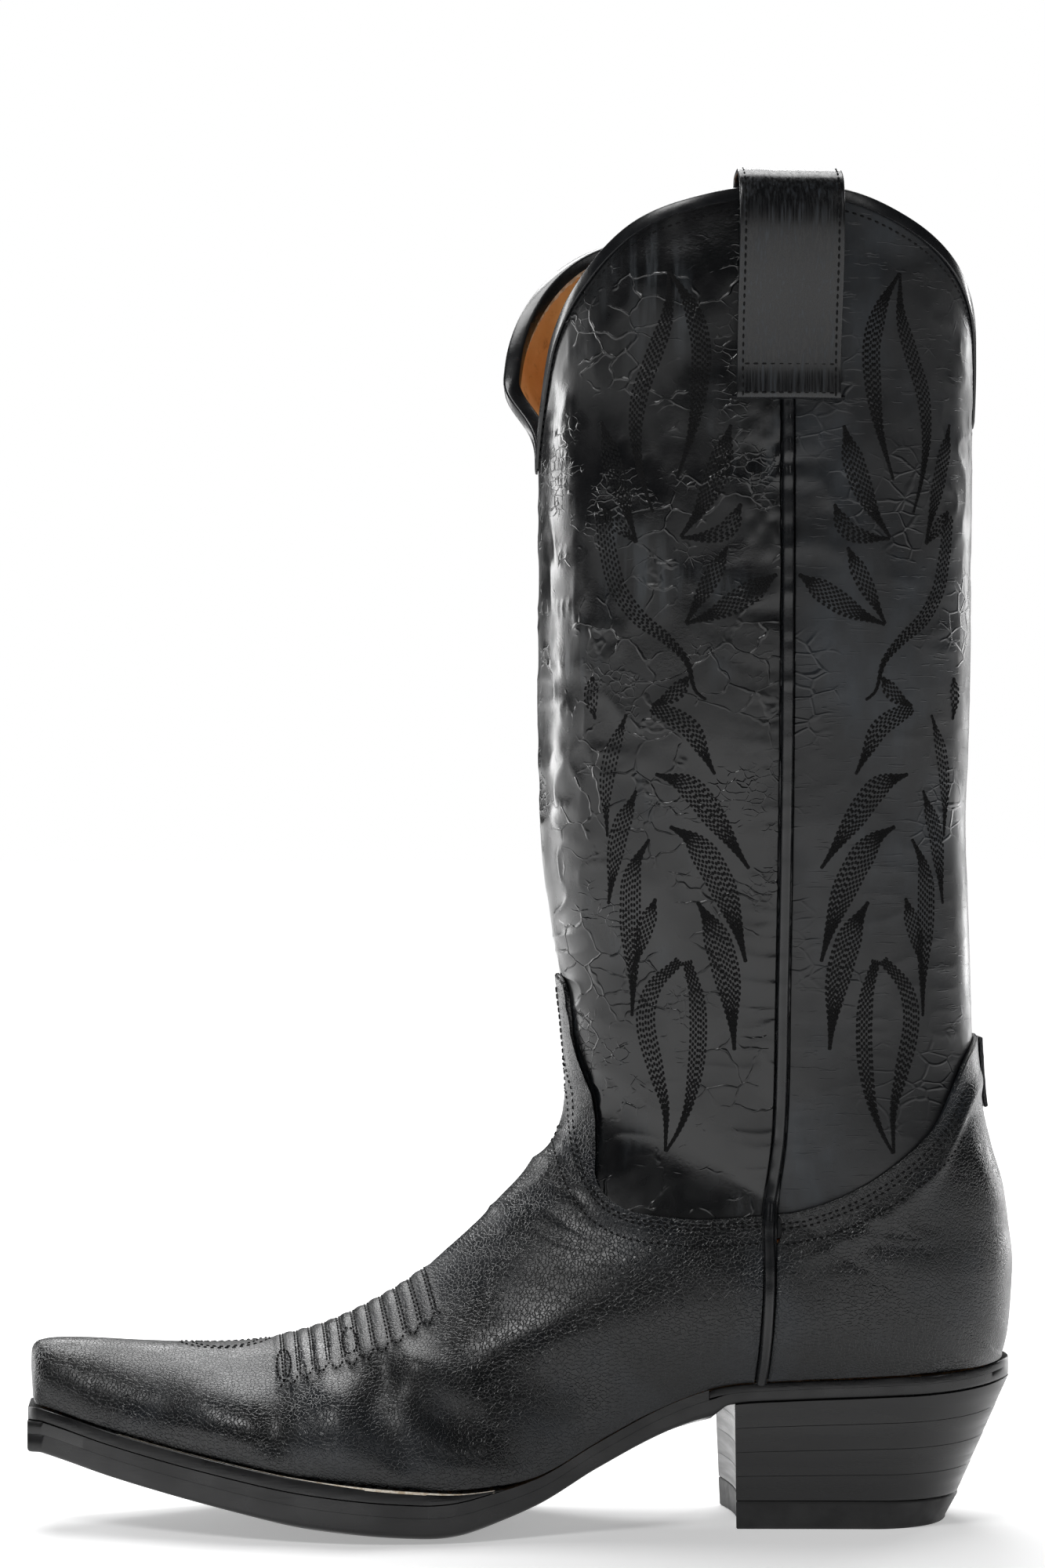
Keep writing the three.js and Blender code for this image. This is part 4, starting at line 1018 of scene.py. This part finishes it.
def plate(name, xs, reach, top, bottom, looks, slot, nodes, edge=0.05, under_edge=0.05):
    across = fine(40, 60, (0.1, 0.3, 0.6)) * 2 - 1
    base, s = np.meshgrid(xs, across, indexing="ij")
    x, y = underfoot(base, s, reach(base))
    grid = np.stack([x, y, np.zeros_like(x)], -1)
    over = np.stack([x, y, top(x) - rounding(grid, edge)], -1)
    under = np.stack([x, y, bottom(x, s) + rounding(grid, under_edge)], -1)
    build(name, *slab(over, under), looks, slot, nodes)


def band(name, run, inner, depth, looks, slot, node, edge=0.5):
    """A strip under the edge of the upper, round an outline of x and side."""
    x, s = run
    line = np.stack([x, s * bottom_half(x, s) + toe_swing(x)], 1)
    a = np.roll(line, 1, axis=0)
    b = np.roll(line, -1, axis=0)
    a[0], b[-1] = line[0], line[-1]
    turn = unit(b - a)
    out = np.stack([turn[:, 1], -turn[:, 0]], 1)
    reach = mix(-inner, edge_reach(x)[:, None], fine(16, inner + 4)[None, :])
    px = line[:, :1] + out[:, :1] * reach
    py = line[:, 1:] + out[:, 1:] * reach
    grid = np.stack([px, py, feather(px)], -1)
    over = np.stack([px, py, feather(px) - rounding(grid, edge)], -1)
    under = np.stack([px, py, feather(px) - depth(px) + rounding(grid, 0.05)], -1)
    build(name, *slab(over, under), looks, slot, [node])


def sole():
    mid = stations(TOE_X, BREAST_X - 5, 220)
    plate("middle_sole", mid, edge_reach, lambda x: midsole_top(x) + 0.33, lambda x, s: midsole_bottom(x),
          SOLE, "sole_leather", ["midsole"])
    out = stations(TOE_X, HEEL_X - 0.05, 260)
    plate("leather_outsole", out, edge_reach, lambda x: outsole_top(x) + 0.33, outsole_bottom, SOLE,
          "sole_leather", ["outsole"], 0.05, 1.3)
    xs = stations(TOE_X, WELT_END, 200)
    run = (np.concatenate([xs[::-1], xs]), np.concatenate([np.ones(len(xs)), -np.ones(len(xs))]))
    band("foot_welt", run, WELT_REACH, lambda x: np.maximum(welt_depth(x) - 2 * GAP, 0.5), SOLE,
         "sole_leather", "welt")
    turn = np.linspace(0, math.radians(88.5), 60)
    xs = np.concatenate([np.linspace(BREAST_X - 4.8, SEAT_CENTRE, 60)[:-1],
                         SEAT_CENTRE + SEAT_RADIUS * np.sin(turn)])
    run = (np.concatenate([xs, xs[::-1]]), np.concatenate([-np.ones(len(xs)), np.ones(len(xs))]))
    band("heel_seat_rand", run, 6, lambda x: RAND + 0 * x, SOLE, "sole_leather", "heel_rand")
    plate("sock", stations(10, HEEL_X - 6, 80), lambda x: -4.6 + 0 * x, lambda x: feather(x) + 4.8,
          lambda x, s: feather(x) + 3.6, LINING, "lining_leather", ["sock_liner"], 0.4)


def heel_outline(part, shrink):
    """The heel's outline at a share of its height, drawn in by a small inset."""
    low, high = BREAST_X + 2.5, HEEL_X - 0.05
    turn = np.linspace(0, math.asin((high - SEAT_CENTRE) / SEAT_RADIUS), 44)
    base = np.concatenate([np.linspace(low, SEAT_CENTRE, 30)[:-1], SEAT_CENTRE + SEAT_RADIUS * np.sin(turn)])
    base = np.concatenate([base, base[::-1]])
    s = np.concatenate([-np.ones(len(base) // 2), np.ones(len(base) // 2)])
    breast = np.linspace(1, -1, 18)[1:-1]
    base = np.concatenate([base, np.full(len(breast), low)])
    s = np.concatenate([s, breast])
    top_x, top_y = underfoot(base, s, edge_reach(base))
    q = (base - low) / (high - low)
    x = mix(mix(BREAST_X + 3.5, HEEL_FOOT_X, q), top_x, part)
    x = x + 2.2 * (1 - s * s) * smooth(q, 0.25, 0)
    y = top_y * mix(HEEL_FOOT_HALF / 31, 1, part ** 0.9)
    centre = np.array([mix(94.0, 100.0, part), 0])
    line = np.stack([x, y], 1)
    return line - unit(line - centre) * shrink, top_x


# share of the height, rise and inset of the rings that round a heel layer's two edges
HEEL_LAYER = [(0, 0, 1), (0, 0.35, 0.65), (0, 1, 0), (0, 2.2, 0), (0.5, 0, 0),
              (1, -2.2, 0), (1, -1, 0), (1, -0.35, 0.65), (1, 0, 1)]


def heel_piece(name, parts, low, high, looks, slot, nodes, edge=0.35):
    rings = []
    for t, rise, inset in HEEL_LAYER:
        line, top_x = heel_outline(mix(parts[0], parts[1], t), edge * inset ** 1.5)
        z = mix(low(top_x), high(top_x), t) + rise * edge
        rings.append(np.concatenate([line, z[:, None]], 1))
    points = np.stack(rings)
    build(name, points.reshape(-1, 3), tube_faces(*points.shape[:2]), looks, slot, nodes, 60)


def heel():
    def height(share):
        return lambda x: mix(HEEL_CAP + 0.06, outsole_top(x) - OUTSOLE_SEAT, share)
    for i in range(4):
        parts = (mix(CAP_PART, 1, i / 4), mix(CAP_PART, 1, (i + 1) / 4))
        heel_piece(f"stacked_lift_{i + 1}", parts, height(i / 4), height((i + 1) / 4), HEEL, "stacked_heel",
                   [f"heel_lift_{i + 1}"], 0.07)
    heel_piece("rubber_cap", (0, CAP_PART * 0.95), lambda x: 0 * x, lambda x: HEEL_CAP + 0 * x, RUBBER,
               "heel_rubber", ["heel_cap"], 0.5)


# ---------------------------------------------------------------- stitching

class Stitching:
    """Rows of stitches collected into one mesh."""

    def __init__(self):
        self.points = []

    def row(self, line, out, length=2.0, space=0.5, width=0.6, height=0.34, phase=0.0):
        """Adds stitches along a line of points with the surface's outward axes."""
        if len(line) < 3:
            return
        run = lengths(line)
        number = int(run[-1] / (length + space))
        if number < 1:
            return
        pitch = run[-1] / number
        starts = (np.arange(number) + phase) * pitch + pitch * 0.5 * space / (length + space)
        starts = starts[starts + pitch * length / (length + space) <= run[-1] + 0.01]
        if len(starts) < 1:
            return
        ends = starts + pitch * length / (length + space)

        def at(s):
            p = np.stack([np.interp(s, run, line[:, k]) for k in range(3)], 1)
            n = np.stack([np.interp(s, run, out[:, k]) for k in range(3)], 1)
            return p, unit(n)

        a, na = at(starts)
        b, nb = at(ends)
        m, nm = at((starts + ends) / 2)
        along = b - a
        across = unit(np.cross(nm, along)) * width / 2
        rings = [a - na * 0.15]
        for share in (0.28, 0.72):
            centre = mix(a, b, share) + (m - (a + b) / 2)
            rings = rings + [centre - across, centre + nm * height, centre + across]
        rings.append(b - nb * 0.15)
        self.points.append(np.stack(rings, 1))

    def build(self, name, looks, slot):
        stack = np.concatenate(self.points)
        n = len(stack)
        faces = [(0, 1, 2), (0, 2, 3), (1, 4, 5, 2), (2, 5, 6, 3), (4, 7, 5), (5, 7, 6), (0, 3, 1),
                 (4, 6, 7), (1, 3, 6, 4)]
        every = []
        for i in range(n):
            every.extend([[8 * i + k for k in f] for f in faces])
        build(name, stack.reshape(-1, 3), every, looks, slot, (), 70)


def on_side(line, side, offset, relief=None):
    """A side-view line of x and z laid on one side of the form."""
    u, v = locate(line[:, 0], line[:, 1])
    return on_uv(u, v, side, offset, relief)


def on_uv(u, v, side, offset, relief=None):
    bump = relief(u, v, side) if relief else 0
    return on_form(u, v, side, offset + bump + 0 * u), normal_at(u, v, side)


def beside(line, distance):
    """A side-view line moved sideways by a distance."""
    run = unit(np.gradient(line, axis=0))
    square = np.stack([-run[:, 1], run[:, 0]], 1)
    return line + square * np.asarray(distance).reshape(-1, 1)


# Flames of stitching on the back half of the shaft: the middle line, the half width, the blunt end's share
FLAMES = [
    ([(106.4, 364), (100.6, 353.7), (97.7, 342.4), (98.2, 330.1), (100.1, 317.9), (104.3, 303.8)], 2.4, 0),
    ([(106.4, 364), (106.7, 351.8), (110, 340.5), (113.7, 329.2), (114.9, 317), (113.3, 304.7),
      (110.4, 294.4)], 2.0, 0),
    ([(89.3, 319.8), (93, 306.6), (97.3, 296.3), (103.4, 287.3)], 3.0, 0),
    ([(86.4, 297.2), (90.2, 289.7), (96, 287.6), (103.4, 287.3)], 2.2, 0),
    ([(76.1, 277), (83.6, 271.8), (93, 266.1), (102, 262.6)], 3.0, 0),
    ([(90.2, 285), (94.9, 275.6), (102, 262.6)], 2.2, 0),
    ([(123.1, 321.7), (120.8, 311.3), (118.4, 301), (114.5, 285.9)], 2.0, 0),
    ([(122.7, 296.3), (119, 291), (114.5, 285.9)], 1.6, 0),
    ([(122.7, 295.3), (121.3, 283), (118.9, 272.7), (113.7, 264.3), (107.1, 258.6), (101.5, 252),
      (99.1, 243.7), (95.9, 240.8)], 1.9, 0.8),
    ([(100.9, 247.8), (105, 242.5), (110.9, 239.3)], 2.0, 0),
    ([(110.9, 239.3), (100.9, 233.3), (96.9, 226.3), (93.4, 219.4)], 2.5, 0.6),
    ([(109.9, 219.9), (100.9, 216.4), (92.9, 206.4), (83.4, 192.4)], 3.2, 0),
    ([(105.9, 204.9), (98.9, 200.4), (91.9, 189.4), (86.9, 176.4), (83.9, 165.5)], 3.6, 0),
    ([(97.9, 183.4), (92.9, 174.4), (88.9, 160.5), (87.4, 148.5), (86.7, 140)], 3.6, 0),
    ([(100.4, 166.5), (97.4, 155.5), (96.9, 140.5), (98.9, 125.5), (101.9, 116.6), (105.4, 110.1)], 2.1, 0.5),
    ([(101.9, 166.5), (108.9, 158.5), (110.9, 148.5), (107.9, 133.5), (105.4, 122.5), (105.4, 110.1)],
     2.2, 0.5),
    ([(116.9, 237.3), (120.4, 226.3), (121.8, 214.4), (121.4, 201.4)], 1.6, 0),
    ([(114.4, 215.4), (118.4, 203.4), (119.9, 192.4), (120.9, 181.9)], 2.0, 0),
    ([(110.9, 201.4), (114.9, 192.4), (115.4, 178.4), (114.4, 162.5), (114.4, 149.5)], 2.4, 0),
    ([(108.9, 184.4), (112.4, 172.5), (114.4, 162.5)], 2.0, 0),
    ([(124.8, 248.3), (125.2, 241), (124.3, 235.3)], 1.4, 0),
]


def mirrored(line):
    """The same line as far before the side seam as it was behind it, measured round the leg."""
    v = np.linspace(0, 1, 300)
    ring = form(np.full(300, 33.0), v, -1)
    run = lengths(ring[:, :2])
    seam = np.interp(SEAM_X, ring[:, 0], run)
    away = np.interp(line[:, 0], ring[:, 0], run) - seam
    return np.stack([np.interp(seam - away, run, ring[:, 0]), line[:, 1]], 1)


def flames(side, name):
    rows = Stitching()
    for points, half, blunt in FLAMES:
        length = np.sum(np.linalg.norm(np.diff(np.array(points), axis=0), axis=1))
        middle = path(points, max(int(length), 12))
        t = np.linspace(0, 1, len(middle))
        swell = np.minimum(mix(smooth(t, 0, 0.3), 1, blunt), smooth(t, 1, 0.45))
        number = int(round(2 * half / 0.72)) + 1
        for k in range(number):
            offset = (2 * k / (number - 1) - 1) * half * (swell * 0.94 + 0.06)
            line = beside(middle, offset)
            for at in (line, mirrored(line)):
                rows.row(*on_side(at, side, 0, shaft_relief), length=1.5, space=0.25, width=0.72,
                         height=0.34, phase=0.5 * (k % 2))
    rows.build(f"{name}_flame_stitching", THREAD, "charcoal_leather")


def edge_rows(side, name):
    rows = Stitching()
    vamp = path(VAMP_EDGE, 300)
    for inset in (1.9, 3.1, 8.0):
        line = beside(vamp, -inset)
        keep = line[:, 0] < seam_x(line[:, 1]) - SEAM_HALF - 0.5
        keep = keep & (line[:, 1] < (158 if inset < 5 else 120))
        rows.row(*on_side(line[keep], side, VAMP_OUT, vamp_relief), length=1.5)
    counter = path(COUNTER_EDGE, 300)
    for inset in (3.1, 4.6, 9.0):
        line = beside(counter, -inset)
        keep = (line[:, 0] > seam_x(line[:, 1]) + SEAM_HALF + 0.5) & (line[:, 0] < 126)
        rows.row(*on_side(line[keep], side, VAMP_OUT, counter_relief), length=1.5)
    v = np.linspace(0.01, 0.99, 500)
    u = top_ring(v)
    low = form(u, v, side)[:, 2]
    lower = bisect(lambda at: form(at, v, side)[:, 2] - (low - 5.2), 20, LAST_RING, v.shape)
    x = form(lower, v, side)[:, 0]
    for keep in (x < SEAM_X - 16, x > SEAM_X + 16):
        rows.row(*on_uv(lower[keep], v[keep], side, 0, shaft_relief), length=1.9)
    rows.build(f"{name}_edge_stitching", THREAD, "soft_leather")


def strap_rows(side, name):
    rows = Stitching()
    route = path(strap_route(), 400)
    half = STRAP_THICKNESS / 2
    outer = strap_points(route, np.array([-0.445, 0.445]), side, -half)
    run = unit(np.gradient(route, axis=0))
    out = np.stack([np.zeros(len(run)), side * run[:, 1], -run[:, 0]], 1)
    for k in (0, 1):
        rows.row(outer[:, k], out, length=1.8)
    for z in (328.3, 336.5):
        along = np.linspace(-0.445, 0.445, 60)
        at = np.array([[strap_route()[0][0], z]] * 3) + np.array([[0, -0.1], [0, 0], [0, 0.1]])
        line = strap_points(at, along, side, -half)[1]
        rows.row(line, np.broadcast_to(np.array([0.0, side, 0.0]), line.shape), length=1.8)
    rows.build(f"{name}_strap_stitching", THREAD, "glazed_leather")


def toe_stitching():
    rows = Stitching()
    for along in np.arange(BUG_LOOP, BUG_TO + 0.1, RIB):
        for shift in (-0.45, 0.45):
            u = bisect(lambda at: crest_x(at) - along - shift, 3, 14, (60,))
            angle = np.linspace(-1, 1, 60)
            v = np.abs(angle) * at_drop(u, rib_reach(along))
            side = np.where(angle < 0, -1.0, 1.0)
            rows.row(*on_uv(u, v, side, VAMP_OUT, vamp_relief), length=1.5, space=0.4)
    lens(rows)
    scallops(rows)
    for along in (BUG_LOOP, BUG_LOOP_2):
        loop(rows, along)
    rows.build("toe_stitching", THREAD, "soft_leather")


def on_crest(along, drop, offset=0.0):
    """Points on the top of the vamp from a place along its crest and a drop to either side of it."""
    u = bisect(lambda at: crest_x(at) - along, 2, 14, along.shape)
    side = np.where(drop < 0, -1.0, 1.0)
    v = at_drop(u, np.abs(drop))
    return on_uv(u, v, side, VAMP_OUT + offset, vamp_relief)


def lens(rows):
    t = np.linspace(0, 2 * np.pi, 160)
    along = -87 + 13.5 * np.cos(t)
    for size in (1.0, 0.72):
        across = 0.8 * size * np.sin(t) * np.abs(np.sin(t)) ** 1.2
        rows.row(*on_crest(-87 + (along + 87) * size, across), length=1.6)


def loop(rows, middle):
    t = np.linspace(0, 2 * np.pi, 70)
    for sign in (-1.0, 1.0):
        drop = sign * (5.6 + 3.0 * np.sin(t))
        rows.row(*on_crest(middle + 2.1 * np.cos(t), drop, 0.2), length=1.3)


def scallops(rows):
    along = np.linspace(BUG_LOOP - 1.5, BUG_TO + 1.5, 220)
    for sign in (-1.0, 1.0):
        rows.row(*on_crest(along, sign * (rib_reach(along) + 0.6)), length=1.5)


def welt_stitches():
    """The welt's seam, in the groove between the upper and the welt's edge."""
    rows = Stitching()
    for s in (-1.0, 1.0):
        x = np.linspace(TOE_X + 3, WELT_END, 400)
        y = s * (bottom_half(x, s) + edge_reach(x) * 0.62) + toe_swing(x)
        line = np.stack([x, y, feather(x) + 0.05], 1)
        rows.row(line, np.broadcast_to(np.array([0.0, 0.0, 1.0]), line.shape), 2.4, 0.7, 0.9, 0.55)
    rows.build("welt_stitching", THREAD, "sole_leather")


def welt_line():
    """The welt's pale raw edge, a thin line close under the upper."""
    for s, name in ((-1.0, "outer"), (1.0, "inner")):
        x = np.linspace(-118, -10, 260)
        y = s * (bottom_half(x, s) + edge_reach(x) * 0.98) + toe_swing(x)
        at = np.stack([x, y, feather(x) - 0.35], 1)
        out = np.broadcast_to(np.array([0.0, s, 0.0]), at.shape)
        across = axes_across(at, out)
        section = [[-0.35, -0.4], [0.35, -0.4], [0.35, 0.12], [-0.35, 0.12]]
        build(f"{name}_welt_raw_line", *sweep(at, across, out, section), RAW, "lining_leather")


# ---------------------------------------------------------------- hidden pieces, pegs

def hidden_pieces():
    wood = simple("peg_wood_look", (0.09, 0.055, 0.03), 0.6)
    looks = {
        "insole": simple("insole_board_look", (0.42, 0.26, 0.13), 0.8),
        "cork_filler": simple("cork_look", (0.32, 0.18, 0.09), 0.9, 500, 0.3),
        "shank": simple("steel_look", (0.55, 0.55, 0.56), 0.35, 200, 0.02, 1.0),
    }
    looks["counter_stiffener"] = STIFF
    looks["seat_filler"] = looks["cork_filler"]
    for name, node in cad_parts.items():
        finish = looks.get(name)
        if "nail" in name:
            finish = looks["shank"]
        if "peg" in name:
            finish = wood
        if finish:
            for i in range(len(node.material_slots)):
                node.material_slots[i].material = finish


# ---------------------------------------------------------------- floor, light, camera

def backdrop():
    mesh = bpy.data.meshes.new("floor")
    size = 12.0
    mesh.from_pydata([(-size, -size, 0), (size, -size, 0), (size, size, 0), (-size, size, 0)], [],
                     [(0, 1, 2, 3)])
    floor = link("floor", mesh)
    look = Looks("floor_look", (0.9, 0.9, 0.9), 0.6)
    # The floor glows as painted light, so that it reads white far off; the glow is weaker within about 0.3 m
    # of the boot, a painted shade round it where its shadow falls.
    look.set("Emission Color", (1, 1, 1, 1))
    length = look.add("ShaderNodeVectorMath", Vector=look.place)
    length.operation = "LENGTH"
    away = length.outputs["Value"]
    painted_floor_glow = look.math("ADD", look.ramp(away, 0.0, 0.3, 0.34, 0.42), look.ramp(away, 0.3, 2.2, 0.0, 0.58))
    look.feed(look.shader.inputs["Emission Strength"], painted_floor_glow)
    look.color(look.blend(look.noise(3), (0.9, 0.9, 0.9), (0.88, 0.88, 0.885)))
    mesh.materials.append(look.material)
    world = bpy.data.worlds.new("studio")
    bpy.context.scene.world = world
    world.use_nodes = True
    tree = world.node_tree
    back = tree.nodes["Background"]
    back.inputs["Color"].default_value = (1, 1, 1, 1)
    rays = tree.nodes.new("ShaderNodeLightPath")
    share = tree.nodes.new("ShaderNodeMapRange")
    share.inputs["To Min"].default_value = 0.035
    share.inputs["To Max"].default_value = 1.0
    tree.links.new(rays.outputs["Is Camera Ray"], share.inputs["Value"])
    tree.links.new(share.outputs[0], back.inputs["Strength"])


def softbox(name, place, target, width, height, power):
    light = bpy.data.lights.new(name, "AREA")
    light.shape = "RECTANGLE"
    light.size = width
    light.size_y = height
    light.energy = power
    lamp = link(name, light)
    lamp.location = place
    direction = np.array(target) - np.array(place)
    flat = math.hypot(direction[0], direction[1])
    lamp.rotation_euler = (math.atan2(flat, -direction[2]), 0, math.atan2(-direction[0], direction[1]))


def studio():
    softbox("top_box", (0.0, 0.6, 1.7), (0, 0, 0.1), 1.6, 0.9, 26)
    softbox("back_box", (-0.1, 1.6, 1.35), (0, 0, 0.15), 1.2, 0.5, 16)
    softbox("left_box", (-1.15, 1.0, 0.4), (0, 0, 0.2), 0.32, 1.2, 10)
    softbox("right_box", (1.0, 1.25, 0.4), (0, 0, 0.2), 0.22, 1.2, 6)
    softbox("front_box", (-0.75, -0.85, 1.25), (-0.03, 0, 0.08), 0.5, 0.4, 8)
    softbox("side_box", (1.1, -1.3, 1.1), (0.03, 0, 0.15), 0.3, 0.6, 1.5)


def camera():
    data = bpy.data.cameras.new("camera")
    data.lens = 109.0
    data.sensor_fit = "AUTO"
    data.sensor_width = 36
    eye = link("camera", data)
    turn = math.radians(-3.5)
    centre = (0.6 + SHIFT[0]) / 1000
    away = 1.4
    eye.location = (centre + math.tan(turn) * away, -away, 0.217)
    eye.rotation_euler = (math.pi / 2, 0, turn)
    data.clip_end = 100
    bpy.context.scene.camera = eye


shaft()
foot()
for part, which in (("outer", -1.0), ("inner", 1.0)):
    side_welt(part, which)
    pull_strap(part, which)
    flames(which, part)
    edge_rows(which, part)
    strap_rows(which, part)
sole()
heel()
toe_stitching()
welt_stitches()
welt_line()
hidden_pieces()
backdrop()
studio()
camera()
bpy.context.scene.view_settings.view_transform = "Standard"
